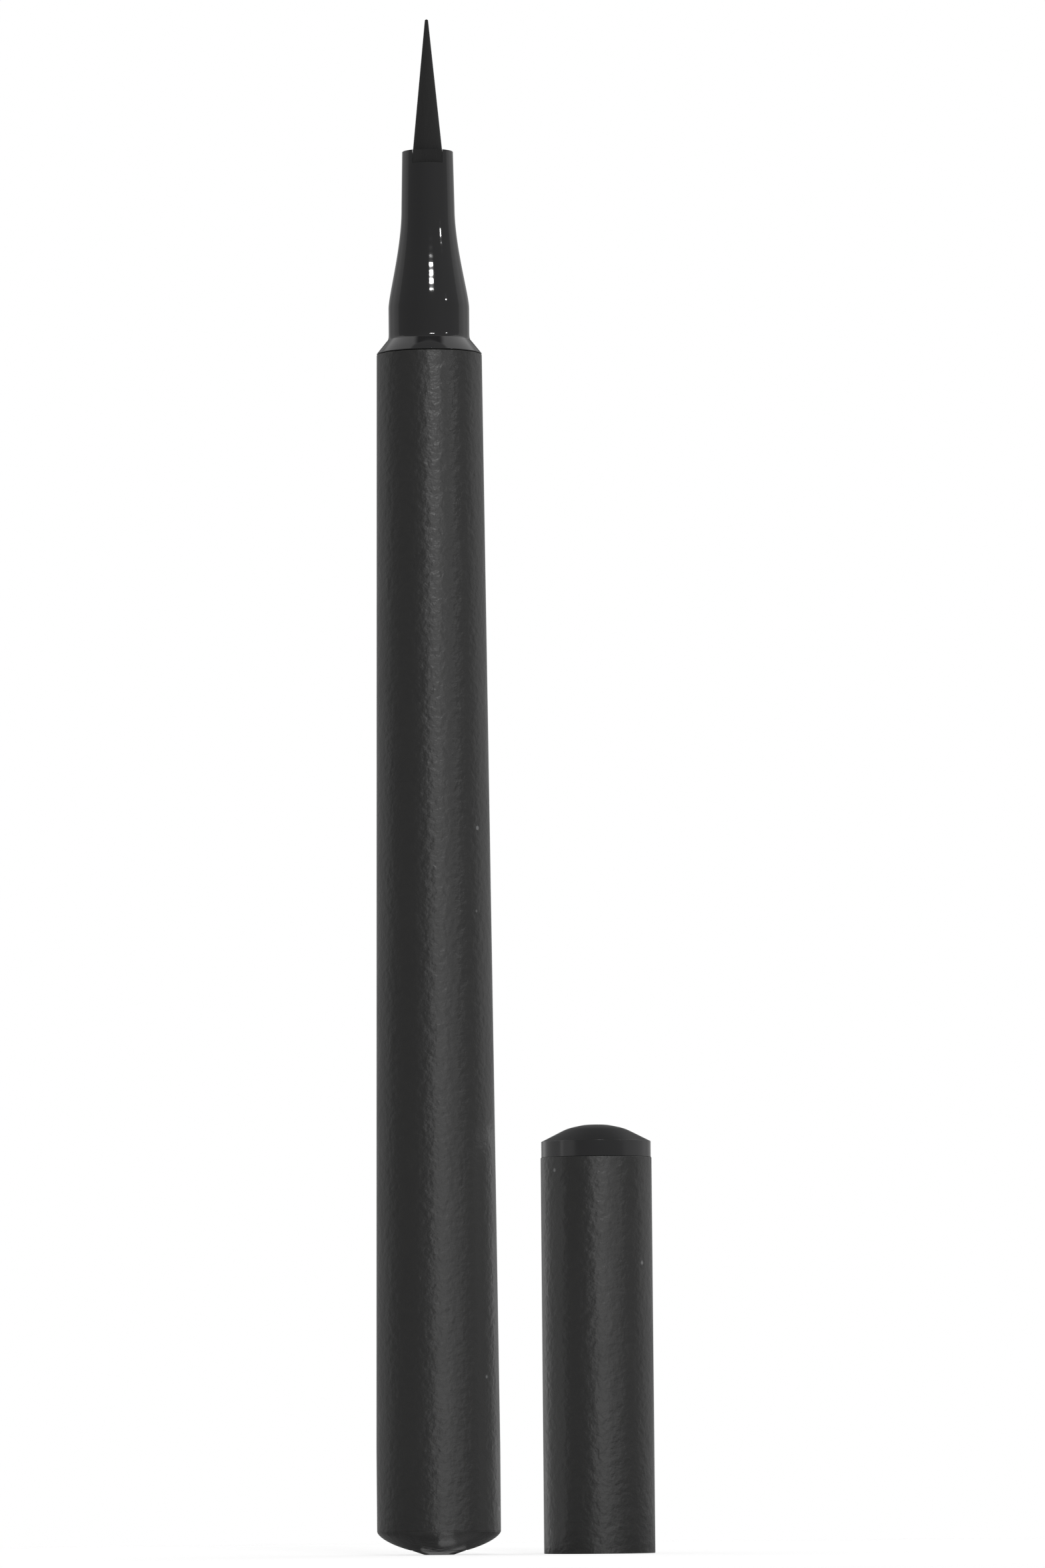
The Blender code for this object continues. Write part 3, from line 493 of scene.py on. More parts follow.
def soft_touch_paint(colours):
    """Rubbery polyurethane paint, sprayed over moulded ABS and left to dry.

    It gives a broad dull highlight, and its fine mottle breaks that highlight's edges up.
    """
    made, add, shader, place = new_material("Soft-touch polyurethane paint on ABS")
    # The lumps of the mottle are half as wide as the pattern's cells, about 0.3 mm
    mottle = add(NOISE, {"Vector": place, "Scale": per_metre(0.6), "Detail": 2.0, "Roughness": 0.5})
    drift = add(NOISE, {"Vector": place, "Scale": per_metre(5.0), "Detail": 2.0})
    # Dust caught under the paint: one cell in a few holds a speck
    cells = add("ShaderNodeTexVoronoi", {"Vector": place, "Scale": per_metre(2.6)})
    near = add(RANGE, {
        "Value": cells["Distance"], "From Min": 0.05, "From Max": 0.09, "To Min": 1.0, "To Max": 0.0
    })
    chosen = add(MATH, {0: cells["Color"], 1: 0.62}, operation="GREATER_THAN")
    speck = add(MATH, {0: near["Result"], 1: chosen["Value"]}, operation="MULTIPLY")
    tone = add(MIX, {
        MIX_FACTOR: mottle["Fac"], MIX_A: opaque(colours.paint), MIX_B: opaque(colours.paint_light)
    }, data_type="RGBA")
    dusty = add(MIX, {
        MIX_FACTOR: speck["Value"], MIX_A: tone[MIX_RESULT], MIX_B: opaque(linear("6a6a6b"))
    }, data_type="RGBA")
    sheen = add(RANGE, {
        "Value": drift["Fac"], "From Min": 0.3, "From Max": 0.7, "To Min": 0.33, "To Max": 0.39
    })
    raised = add(BUMP, {"Height": mottle["Fac"], "Strength": 1.0, "Distance": 0.00008})
    set_inputs(shader, {
        "Base Color": dusty[MIX_RESULT], "IOR": 1.5,
        "Roughness": sheen["Result"], "Normal": raised["Normal"]
    })
    return made


def gloss_abs(colours, name="Polished black ABS", dullness=(0.05, 0.08)):
    """Black ABS from a polished mould. It mirrors the studio sharply, with the slight waves of moulding."""
    made, add, shader, place = new_material(name)
    waves = add(NOISE, {"Vector": place, "Scale": per_metre(1.4), "Detail": 1.0})
    wiping = add(NOISE, {"Vector": place, "Scale": per_metre(2.5), "Detail": 1.0})
    low, high = dullness
    polish = add(RANGE, {
        "Value": wiping["Fac"], "From Min": 0.35, "From Max": 0.75, "To Min": low, "To Max": high
    })
    raised = add(BUMP, {"Height": waves["Fac"], "Strength": 1.0, "Distance": 0.0000015})
    # Turning marks of the mould break highlights into beads. Real ones are too fine to show, so these
    # rings are 0.75 mm apart and about 2 microns deep
    rings = add("ShaderNodeTexWave", {
        "Vector": place, "Scale": per_metre(0.75) * math.tau / WAVE_STEP, "Distortion": 0.0
    }, wave_type="BANDS", bands_direction="Z")
    raised = add(BUMP, {
        "Height": rings["Fac"], "Strength": 1.0, "Distance": 0.0000024, "Normal": raised["Normal"]
    })
    set_inputs(shader, {
        "Base Color": opaque(colours.gloss), "IOR": 1.5,
        "Roughness": polish["Result"], "Normal": raised["Normal"]
    })
    return made


def handled_abs(colours):
    """The same ABS where fingers pull the cap off: it has lost its polish, so its reflections are soft."""
    return gloss_abs(colours, "Handled black ABS", (0.17, 0.24))


def inked_felt(colours):
    """Acrylic fibres bonded and ground to a point, soaked with ink. It is dull, with streaks lengthwise."""
    made, add, shader, place = new_material("Ground acrylic felt, soaked")
    # Real fibres are too fine to show, so these are 0.16 mm wide
    along = add("ShaderNodeMapping", {"Vector": place, "Scale": (1.0, 1.0, 0.08)})
    fibres = add(NOISE, {
        "Vector": along["Vector"], "Scale": per_metre(0.16), "Detail": 4.0, "Roughness": 0.7
    })
    tone = add(MIX, {
        MIX_FACTOR: fibres["Fac"], MIX_A: opaque(linear("2b2b2b")), MIX_B: opaque(colours.felt)
    }, data_type="RGBA")
    raised = add(BUMP, {"Height": fibres["Fac"], "Strength": 1.0, "Distance": 0.00003})
    set_inputs(shader, {
        "Base Color": tone[MIX_RESULT], "Normal": raised["Normal"],
        "Roughness": 0.85, "Specular IOR Level": 0.15
    })
    return made


def milky_polyethylene(colours):
    """Soft polyethylene, moulded thin, which lets some light through."""
    made, add, shader, place = new_material("Milky polyethylene")
    flow = add(NOISE, {"Vector": place, "Scale": per_metre(1.8), "Detail": 2.0})
    dullness = add(RANGE, {"Value": flow["Fac"], "To Min": 0.28, "To Max": 0.42})
    raised = add(BUMP, {"Height": flow["Fac"], "Strength": 0.6, "Distance": 0.00002})
    set_inputs(shader, {
        "Base Color": opaque(colours.milky), "IOR": 1.51,
        "Roughness": dullness["Result"], "Normal": raised["Normal"],
        "Subsurface Weight": 0.25, "Subsurface Radius": (0.0006, 0.0006, 0.0005)
    })
    return made


def stained_polypropylene(colours):
    """Unpigmented polypropylene that ink has run over, so it has soft grey-green stains."""
    made, add, shader, place = new_material("Natural polypropylene, ink-stained")
    stains = add(NOISE, {"Vector": place, "Scale": per_metre(3.5), "Detail": 3.0, "Roughness": 0.6})
    cover = add(RANGE, {
        "Value": stains["Fac"], "From Min": 0.45, "From Max": 0.75, "To Min": 0.0, "To Max": 0.6
    })
    tone = add(MIX, {
        MIX_FACTOR: cover["Result"], MIX_A: opaque(colours.natural), MIX_B: opaque(colours.ink)
    }, data_type="RGBA")
    set_inputs(shader, {"Base Color": tone[MIX_RESULT], "Roughness": 0.4, "IOR": 1.49})
    return made


def inked_wick(colours):
    """A rod of bonded polyester fibres, which stays wet with ink. It is dark, with streaks lengthwise."""
    made, add, shader, place = new_material("Bonded polyester fibre, inked")
    # Real fibres are too fine to show, so these are 0.12 mm wide
    along = add("ShaderNodeMapping", {"Vector": place, "Scale": (1.0, 1.0, 0.05)})
    fibres = add(NOISE, {"Vector": along["Vector"], "Scale": per_metre(0.12), "Detail": 3.0})
    tone = add(MIX, {
        MIX_FACTOR: fibres["Fac"], MIX_A: opaque(linear("2c3334")), MIX_B: opaque(colours.ink)
    }, data_type="RGBA")
    raised = add(BUMP, {"Height": fibres["Fac"], "Strength": 1.0, "Distance": 0.00003})
    set_inputs(shader, {"Base Color": tone[MIX_RESULT], "Roughness": 0.8, "Normal": raised["Normal"]})
    return made


def bright_steel(colours):
    """Stainless steel, tumbled bright. Faint marks vary its shine."""
    made, add, shader, place = new_material("Stainless steel, tumbled bright")
    marks = add(NOISE, {"Vector": place, "Scale": per_metre(0.3), "Detail": 3.0})
    dullness = add(RANGE, {"Value": marks["Fac"], "To Min": 0.14, "To Max": 0.30})
    set_inputs(shader, {
        "Base Color": opaque(colours.steel), "Roughness": dullness["Result"], "Metallic": 1.0
    })
    return made


FINISHES = {
    "soft_touch_black": soft_touch_paint,
    "gloss_black": gloss_abs,
    "handled_gloss_black": handled_abs,
    "black_felt": inked_felt,
    "natural_plastic": stained_polypropylene,
    "milky_plastic": milky_polyethylene,
    "inked_fibre": inked_wick,
    "stainless_steel": bright_steel,
}
made_finishes = {}


def finish_for(context, finish):
    """The material of a finish, made when it is first asked for."""
    if finish not in made_finishes:
        made_finishes[finish] = FINISHES[finish](context.scene.finish_colours)
    return made_finishes[finish]


def stand_for(context, piece, node, body, slot, finish=None):
    """Gives a finished piece its material and its body, and hides the node that it stands for."""
    piece.data.materials.clear()
    piece.data.materials.append(finish_for(context, finish or slot))
    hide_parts(node)
    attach(piece, body)


class EYELINER_OT_barrel(bpy.types.Operator):
    """Model the long tapered barrel with its bore and snap grooves"""

    bl_idname = "eyeliner.barrel"
    bl_label = "Barrel"

    def execute(self, context):
        sizes = context.scene.pen_sizes
        bottom, top = BARREL_LOW.z, BARREL_HIGH.z
        taper_start = bottom + sizes.straight_length
        tail_bore = sizes.tail_radius - sizes.wall
        front_bore = sizes.shoulder_radius - sizes.wall
        bore_start = NOZZLE_LOW.z - SEAL_RIB
        middle = ((tail_bore + front_bore) / 2, (taper_start + bore_start) / 2)
        foot = (sizes.tail_radius, bottom)
        outline = [
            middle,
            (front_bore, bore_start),
            *snap(front_bore, SNAP_DEPTH, top - SNAP_INSET),
            (front_bore, top), (sizes.shoulder_radius, top),
            (sizes.tail_radius, taper_start),
            foot,
            (tail_bore, bottom),
            *snap(tail_bore, SNAP_DEPTH, bottom + SNAP_INSET),
            (tail_bore, taper_start),
            middle,
        ]
        piece = turned("painted_barrel", eased(outline, sizes.edge, sharp=foot))
        stand_for(context, piece, "barrel", "pen", "soft_touch_black")
        return {"FINISHED"}


class EYELINER_OT_tail_plug(bpy.types.Operator):
    """Model the domed tail with its foot button, and the ribbed spigot inside the barrel"""

    bl_idname = "eyeliner.tail_plug"
    bl_label = "Tail plug"

    def execute(self, context):
        sizes = context.scene.pen_sizes
        head = BARREL_LOW.z - SEAT_GAP
        top = PLUG_TOP
        tail_bore = sizes.tail_radius - sizes.wall
        spigot = tail_bore - SEAT_GAP - SEAL_RIB
        cavity = spigot - PLUG_WALL

        def dome_height(radius):
            share = radius / sizes.tail_radius
            return head * (1 - (1 - share**sizes.head_power) ** (1 / sizes.head_power))

        def dome_point(turn):
            radius = sizes.tail_radius * math.cos(turn) ** (2 / sizes.head_power)
            return (radius, dome_height(radius))

        groove = sizes.button_radius + sizes.button_groove
        dome_end = math.acos((groove / sizes.tail_radius) ** (sizes.head_power / 2))
        button_top = dome_height(sizes.button_radius)
        shoulder = (sizes.tail_radius, BARREL_LOW.z - HAIRLINE)
        outline = [
            (0, head + PLUG_FLOOR), (cavity, head + PLUG_FLOOR),
            (cavity, top), (spigot, top),
            *reversed(rib(spigot, tail_bore - SEAT_GAP, top - SEAL_RIB_INSET)),
            *reversed(snap(spigot, SNAP_DEPTH + SEAL_RIB, BARREL_LOW.z + SNAP_INSET, BEAD_HALF)),
            (spigot, BARREL_LOW.z - HAIRLINE),
            shoulder,
            (sizes.tail_radius, head),
            *arc_between(0, dome_end, CURVE_STEPS, dome_point),
            (groove, dome_height(groove) + sizes.button_groove),
            (sizes.button_radius, button_top + sizes.button_groove), (sizes.button_radius, button_top),
            (sizes.foot_radius, 0), (0, 0),
        ]
        piece = turned("painted_tail", eased(outline, sizes.fine_edge, sharp=shoulder))
        reach = cavity + PLUG_WALL / 2
        low, high = head + PLUG_FLOOR / 2, top - CROSS_RIB
        half = CROSS_RIB / 2
        combine(piece, block((-reach, -half, low), (reach, half, high)), "UNION")
        combine(piece, block((-half, -reach, low), (half, reach, high)), "UNION")
        settle(piece)
        stand_for(context, piece, "tail_plug", "pen", "soft_touch_black")
        return {"FINISHED"}


class EYELINER_OT_nozzle(bpy.types.Operator):
    """Model the glossy nozzle: cone, neck, flare and notched front tube, with spigot and grooves"""

    bl_idname = "eyeliner.nozzle"
    bl_label = "Nozzle"

    def execute(self, context):
        sizes = context.scene.pen_sizes
        neck_r = sizes.neck_radius
        lip = NOZZLE_HIGH.z
        flange_start = BARREL_HIGH.z + SEAT_GAP
        cone_start = flange_start + sizes.flange_land
        cone_top = cone_start + sizes.cone_height
        flare_top = lip - sizes.front_length
        neck_top = flare_top - sizes.flare_length
        slope = (sizes.shoulder_radius - neck_r) / (sizes.cone_height + sizes.blend_height)
        cone_top_r = neck_r + sizes.blend_height * slope / 2
        front_bore = sizes.shoulder_radius - sizes.wall
        spigot = front_bore - SEAT_GAP - SEAL_RIB
        spigot_bore = spigot - SPIGOT_WALL
        heel_bore = sizes.nib_radius + HEEL_STEP + SEAT_GAP
        heel_start = BARREL_HIGH.z - HEEL_BORE_DROP
        heel_top = NIB_LOW.z + HEEL_LENGTH + SEAT_GAP
        lip_bore = sizes.nib_radius + SEAT_GAP
        rise = sizes.blend_height * BLEND_SHARE
        blend = (
            (cone_top_r, cone_top),
            (cone_top_r + (neck_r - cone_top_r) * (1 - BLEND_SHARE), cone_top + rise / 2),
            (neck_r, cone_top + rise),
            (neck_r, cone_top + sizes.blend_height),
        )
        flare = (
            (neck_r, neck_top),
            (neck_r, neck_top + FLARE_HOLDS[0]),
            (sizes.front_radius, flare_top - FLARE_HOLDS[1]),
            (sizes.front_radius, flare_top),
        )
        outline = [
            (lip_bore, (heel_top + lip) / 2), (lip_bore, heel_top),
            (heel_bore, heel_top), (heel_bore, heel_start),
            (spigot_bore, heel_start), (spigot_bore, NOZZLE_LOW.z),
            (spigot - SEAL_RIB, NOZZLE_LOW.z),
            (spigot, NOZZLE_LOW.z + SEAL_RIB),
            *rib(spigot, front_bore - SEAT_GAP, NOZZLE_LOW.z + SEAL_RIB_INSET),
            *snap(spigot, SNAP_DEPTH + SEAL_RIB, BARREL_HIGH.z - SNAP_INSET, BEAD_HALF),
            (spigot, flange_start), (sizes.shoulder_radius, flange_start),
            (sizes.shoulder_radius, cone_start),
            blend[0],
            *bezier(blend, BLEND_STEPS),
            flare[0],
            *bezier(flare, CURVE_STEPS),
            (sizes.front_radius - sizes.front_draft, lip), (lip_bore, lip),
            (lip_bore, (heel_top + lip) / 2),
        ]
        piece = turned("glossy_nozzle", eased(outline, sizes.fine_edge))
        reach = lip_bore + VENT_GROOVE_DEPTH
        half = VENT_GROOVE_WIDTH / 2
        grooves_top = flare_top + sizes.front_length / 2
        for turn in VENT_GROOVE_TURNS:
            groove = block((-reach, -half, heel_top - OVERRUN), (reach, half, grooves_top), turn)
            combine(piece, groove, "DIFFERENCE")
        half = sizes.nib_radius + LIP_NOTCH_MARGIN
        low = (-half, -sizes.front_radius - OVERRUN, lip - LIP_NOTCH_DEPTH)
        combine(piece, block(low, (half, 0, lip + OVERRUN)), "DIFFERENCE")
        settle(piece)
        stand_for(context, piece, "nozzle", "pen", "gloss_black")
        return {"FINISHED"}


class EYELINER_OT_nib(bpy.types.Operator):
    """Model the felt nib: an even taper with a rounded point, a shank and a socketed heel"""

    bl_idname = "eyeliner.nib"
    bl_label = "Nib"

    def execute(self, context):
        sizes = context.scene.pen_sizes
        lip = NOZZLE_HIGH.z
        point = NIB_HIGH.z
        heel = sizes.nib_radius + HEEL_STEP - SEAT_GAP
        heel_top = NIB_LOW.z + HEEL_LENGTH
        socket_top = NIB_LOW.z + SOCKET_DEPTH
        tip = sizes.nib_point_radius
        taper = math.atan((sizes.nib_radius - tip) / (point - tip - lip))

        def tip_point(turn):
            return (tip * math.cos(turn), point - tip + tip * math.sin(turn))

        outline = [
            (0, socket_top), (SOCKET_R, socket_top),
            (SOCKET_R, NIB_LOW.z), (heel, NIB_LOW.z),
            (heel, heel_top), (sizes.nib_radius, heel_top),
            (sizes.nib_radius, lip),
            *arc_between(taper, math.pi / 2, TIP_STEPS, tip_point),
        ]
        outline[-1] = (0, point)
        piece = turned("felt_nib", eased(outline, sizes.fine_edge), sides=HIDDEN_SIDES)
        # A flat-faced key fills the notch of the nozzle's lip
        half = sizes.nib_radius - LIP_NOTCH_MARGIN
        face = math.sqrt((sizes.front_radius - sizes.front_draft) ** 2 - half**2)
        low = (-half, -face, lip - LIP_NOTCH_DEPTH + LIP_NOTCH_MARGIN)
        combine(piece, block(low, (half, 0, lip)), "UNION")
        settle(piece)
        stand_for(context, piece, "nib", "pen", "black_felt")
        return {"FINISHED"}


class EYELINER_OT_cap_shell(bpy.types.Operator):
    """Model the cap's straight tube with its chamfered and beaded mouth"""

    bl_idname = "eyeliner.cap_shell"
    bl_label = "Cap shell"

    def execute(self, context):
        sizes = context.scene.cap_sizes
        top = SHELL_HIGH.z
        bore = sizes.shell_radius - sizes.shell_wall
        middle = (bore, top / 2)
        outline = [
            middle,
            *snap(bore, SNAP_DEPTH, (CROWN_LOW.z + top) / 2),
            (bore, top), (sizes.shell_radius, top),
            (sizes.shell_radius, 0), (sizes.lead_in_radius, 0),
            (sizes.mouth_radius, sizes.lead_in_height),
            (sizes.mouth_radius, MOUTH_BEAD_HEIGHT - SNAP_WIDTH / 2),
            (sizes.mouth_radius - MOUTH_BEAD_DEPTH, MOUTH_BEAD_HEIGHT),
            (sizes.mouth_radius, MOUTH_BEAD_HEIGHT + SNAP_WIDTH / 2),
            (sizes.mouth_radius, sizes.mouth_depth), (bore, sizes.mouth_depth),
            middle,
        ]
        piece = turned("painted_cap_shell", eased(outline, context.scene.pen_sizes.edge), CAP_X)
        stand_for(context, piece, "cap_shell", "cap", "soft_touch_black")
        return {"FINISHED"}


class EYELINER_OT_cap_crown(bpy.types.Operator):
    """Model the cap's glossy crown: its low dome of two cones, with its skirt and spring socket"""

    bl_idname = "eyeliner.cap_crown"
    bl_label = "Cap crown"

    def execute(self, context):
        sizes = context.scene.cap_sizes
        top = CROWN_HIGH.z
        start = SHELL_HIGH.z + HAIRLINE
        skirt = sizes.shell_radius - sizes.shell_wall - SEAT_GAP
        socket = skirt - SKIRT_WALL
        socket_top = SHELL_HIGH.z + CROWN_SOCKET_DEPTH
        dome = [
            (sizes.crown_radius, top - sizes.crown_dome_height),
            (sizes.crown_knee_radius, top - sizes.crown_knee_drop),
            (sizes.crown_flat_radius, top), (0, top),
        ]
        outline = [
            (0, socket_top), (socket, socket_top),
            (socket, CROWN_LOW.z), (skirt - SKIRT_CHAMFER, CROWN_LOW.z),
            (skirt, CROWN_LOW.z + SKIRT_CHAMFER),
            *snap(skirt, SNAP_DEPTH, (CROWN_LOW.z + SHELL_HIGH.z) / 2, BEAD_HALF),
            (skirt, start), (sizes.crown_radius, start),
            *eased(dome, sizes.crown_ease, 0),
        ]
        piece = turned("glossy_crown", eased(outline, context.scene.pen_sizes.fine_edge), CAP_X)
        stand_for(context, piece, "cap_crown", "cap", "gloss_black", "handled_gloss_black")
        return {"FINISHED"}


class EYELINER_OT_inner_cap(bpy.types.Operator):
    """Model the sealing cup that floats in the cap, with its guide collars, lip and boss"""

    bl_idname = "eyeliner.inner_cap"
    bl_label = "Inner cap"

    def execute(self, context):
        bore = context.scene.cap_sizes.inner_bore
        start = INNER_LOW.z
        roof = INNER_HIGH.z - BOSS_HEIGHT
        room = roof - INNER_ROOF
        wall = bore + INNER_WALL
        collar = (INNER_HIGH.x - INNER_LOW.x) / 2
        lip_r, lip_z = bore - SEAT_GAP, start + INNER_LIP_HEIGHT
        upper = roof - COLLAR_HEIGHT
        outline = [
            (0, room), (bore - INNER_ROOF / 2, room),
            (bore, room - INNER_ROOF / 2), (bore, lip_z + INNER_LIP_BACK),
            (lip_r, lip_z),
            ((lip_r + collar) / 2, start), (collar, start),
            (collar, start + COLLAR_HEIGHT),
            (wall, start + COLLAR_HEIGHT + COLLAR_GAP), (wall, upper - COLLAR_HEIGHT - COLLAR_GAP),
            (collar, upper - COLLAR_HEIGHT), (collar, upper - COLLAR_GAP),
            (wall, upper), (wall, roof - INNER_WALL / 2),
            (wall - INNER_WALL / 2, roof), (BOSS_R, roof),
            (BOSS_R, INNER_HIGH.z), (0, INNER_HIGH.z),
        ]
        outline = eased(outline, context.scene.pen_sizes.fine_edge)
        piece = turned("milky_inner_cap", outline, CAP_X, HIDDEN_SIDES)
        stand_for(context, piece, "inner_cap", "floating_inner_cap", "milky_plastic")
        return {"FINISHED"}


class EYELINER_OT_cap_spring(bpy.types.Operator):
    """Model the coil spring between the inner cap and the crown, from a ring of wire wound upwards"""

    bl_idname = "eyeliner.cap_spring"
    bl_label = "Cap spring"

    def execute(self, context):
        sizes = context.scene.cap_sizes
        wire_r = sizes.spring_wire / 2
        start = (CAP_X, 0, SPRING_LOW.z + wire_r)
        height = SPRING_HIGH.z - SPRING_LOW.z
        bpy.ops.mesh.primitive_circle_add(vertices=WIRE_SIDES, radius=wire_r, location=start)
        piece = named("wound_spring")
        edit_all()
        bpy.ops.transform.rotate(value=math.pi / 2, orient_axis="X", center_override=start)
        bpy.ops.transform.translate(value=(sizes.spring_radius, 0, 0))
        bpy.ops.object.mode_set(mode="OBJECT")
        winding = piece.modifiers.new("Winding", "SCREW")
        winding.screw_offset = (height - sizes.spring_wire) / sizes.spring_turns
        winding.iterations = sizes.spring_turns
        winding.steps = winding.render_steps = CURVE_STEPS
        bpy.ops.object.modifier_apply(modifier=winding.name)
        bpy.ops.object.mode_set(mode="EDIT")
        bpy.ops.mesh.select_mode(type="VERT")
        bpy.ops.mesh.select_all(action="DESELECT")
        bpy.ops.mesh.select_non_manifold(extend=False)
        bpy.ops.mesh.edge_face_add()
        bpy.ops.mesh.select_all(action="SELECT")
        bpy.ops.mesh.normals_make_consistent(inside=False)
        bpy.ops.object.mode_set(mode="OBJECT")
        settle(piece)
        stand_for(context, piece, "cap_spring", "cap", "stainless_steel")
        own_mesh(piece)
        return {"FINISHED"}


class EYELINER_OT_inner_works(bpy.types.Operator):
    """Give the pieces inside the pen their finishes"""

    bl_idname = "eyeliner.inner_works"
    bl_label = "Inner works"

    def execute(self, context):
        slots = {
            "mixing_ball": "stainless_steel",
            "tank_bulkhead": "natural_plastic",
            "ink_collector": "natural_plastic",
            "feed_rod": "inked_fibre",
            "nib_retainer": "natural_plastic",
        }
        for name, slot in slots.items():
            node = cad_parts[name]
            if not node.material_slots:
                raise RuntimeError(f"the packed node {name} has no material slot")
            node.material_slots[0].material = finish_for(context, slot)
        return {"FINISHED"}


def add_area(name, place, back, size, energy, lights):
    """A soft light that faces away from its back, and that the camera doesn't see.

    One that names no pieces is round and lights everything. One that names some is a rectangle and
    lights only those. Only they cast its shadow too, so that the table doesn't cut its light off.
    """
    bpy.ops.object.light_add(type="AREA", location=place)
    made = bpy.context.object
    made.name = name
    made.rotation_euler = back.to_track_quat("Z", "Y").to_euler()
    made.data.shape = "RECTANGLE" if lights else "ELLIPSE"
    made.data.size, made.data.size_y = size
    made.data.energy = energy
    made.visible_camera = False
    if lights:
        lit = bpy.data.collections.new(f"lit_by_{name}")
        for piece in lights:
            lit.objects.link(bpy.data.objects[piece])
        made.light_linking.receiver_collection = lit
        made.light_linking.blocker_collection = lit


def add_lamp(name, centre, azimuth, elevation, across, distance, share, lights):
    """A lamp or panel aimed at the pen. Its share is what it adds to a white card that faces it."""
    azimuth, elevation = math.radians(azimuth), math.radians(elevation)
    flat = math.cos(elevation)
    back = Vector((math.sin(azimuth) * flat, -math.cos(azimuth) * flat, math.sin(elevation)))
    size = [2 * distance * math.tan(math.radians(degrees) / 2) for degrees in across]
    energy = share * math.pi**2 * distance**2
    add_area(name, centre + back * distance, back, size, energy, lights)


def add_card(name, place, back, size, brightness, lights):
    """A small evenly bright card, where a brightness of 1 is white."""
    energy = brightness * math.pi * size[0] * size[1]
    add_area(name, place, Vector(back), size, energy, lights)


def whiteness(add, mask):
    """1 for what the camera sees, the mask for what mirrors and clear pieces show, and 0 for the rest."""
    rays = add("ShaderNodeLightPath", {})
    mirrored = add(MATH, {0: rays["Is Glossy Ray"], 1: rays["Is Transmission Ray"]}, operation="MAXIMUM")
    masked = add(MATH, {0: mirrored["Value"], 1: mask}, operation="MULTIPLY")
    seen = add(MATH, {0: rays["Is Camera Ray"], 1: masked["Value"]}, operation="MAXIMUM")
    return seen["Value"]


def make_world(scene, studio):
    """A grey room with pale sides, a bright ceiling, a dark flag above and behind, and a white backdrop."""
    world = bpy.data.worlds.new("Studio room")
    world.use_nodes = True
    scene.world = world
    tree = world.node_tree
    add = partial(add_node, tree)
    way = add("ShaderNodeTexCoord", {})["Generated"]
    axes = add("ShaderNodeSeparateXYZ", {0: way})
    aside = add(MATH, {0: axes["X"]}, operation="ABSOLUTE")
    # Each mask goes from 0 to 1 between two values of one coordinate of the direction
    ramps = {
        "side": (axes["Y"], 0.08, 0.14),
        "behind": (axes["Y"], 0.50, 0.75),
        "backdrop": (axes["Y"], 0.975, 0.99),
        "above": (axes["Y"], -0.06, 0.0),
        "raised": (axes["Z"], 0.10, 0.20),
        "high": (axes["Z"], 0.45, 0.60),
        "narrow": (aside["Value"], 0.34, 0.22),
    }
    masks = {}
    for name, (value, low, high) in ramps.items():
        span = {"Value": value, "From Min": low, "From Max": high}
        masks[name] = add(RANGE, span, interpolation_type="SMOOTHSTEP")["Result"]
    pairs = {"ceiling": ("high", "above"), "overhead": ("raised", "above"), "flag": ("overhead", "narrow")}
    for name, (first, second) in pairs.items():
        masks[name] = add(MATH, {0: masks[first], 1: masks[second]}, operation="MULTIPLY")["Value"]
    light = studio.front_level
    for name in ("side", "behind", "ceiling", "flag"):
        blend = {"Value": masks[name], "To Min": light, "To Max": getattr(studio, f"{name}_level")}
        light = add(RANGE, blend)["Result"]
    lean = add(RANGE, {
        "Value": axes["X"], "From Min": -LEAN_REACH, "From Max": LEAN_REACH,
        "To Min": 1 - studio.side_lean, "To Max": 1 + studio.side_lean
    })
    room = add(MATH, {0: light, 1: lean["Result"]}, operation="MULTIPLY")
    white = whiteness(add, masks["backdrop"])
    strength = add(MATH, {0: room["Value"], 1: white}, operation="MAXIMUM")
    set_inputs(tree.nodes["Background"], {"Color": WHITE, "Strength": strength["Value"]})


def white_laminate(middle):
    """White laminate, too dull to mirror the pieces. It fades out at the table's rim.

    The camera sees it as white where no shadow falls. So do mirrors and clear pieces, but for a painted
    shade round the pieces: there its glow is dimmed by nearness to the table's middle.
    """
    made, add, shader, place = new_material("White table laminate")
    pores = add(NOISE, {"Vector": place, "Scale": per_metre(2.0), "Detail": 2.0})
    dullness = add(RANGE, {"Value": pores["Fac"], "To Min": 0.75, "To Max": 0.85})
    outward = add("ShaderNodeVectorMath", {0: place, 1: middle}, operation="DISTANCE")
    # Painted shade: in reflections the table's glow is dimmed round the pieces, by distance from its middle
    near, far = PAINTED_SHADE_REACH
    painted_shade_mask = add(RANGE, {
        "Value": outward["Value"], "From Min": near, "From Max": far, "To Min": PAINTED_SHADE_LEFT
    }, interpolation_type="SMOOTHSTEP")
    white = whiteness(add, painted_shade_mask["Result"])
    lift = add(MATH, {0: white, 1: FLOOR_LIFT}, operation="MULTIPLY")
    fade = add(RANGE, {
        "Value": outward["Value"], "From Min": FLOOR_FADE_START, "From Max": FLOOR_R
    }, interpolation_type="SMOOTHSTEP")
    nothing = add("ShaderNodeBsdfTransparent", {})
    faded = add("ShaderNodeMixShader", {0: fade["Result"], 1: shader.outputs["BSDF"], 2: nothing["BSDF"]})
    set_inputs(made.node_tree.nodes["Material Output"], {"Surface": faded["Shader"]})
    set_inputs(shader, {
        "Base Color": opaque(linear("b4b4b4")),
        "Roughness": dullness["Result"], "Specular IOR Level": 0.2,
        "Emission Color": WHITE, "Emission Strength": lift["Value"]
    })
    return made


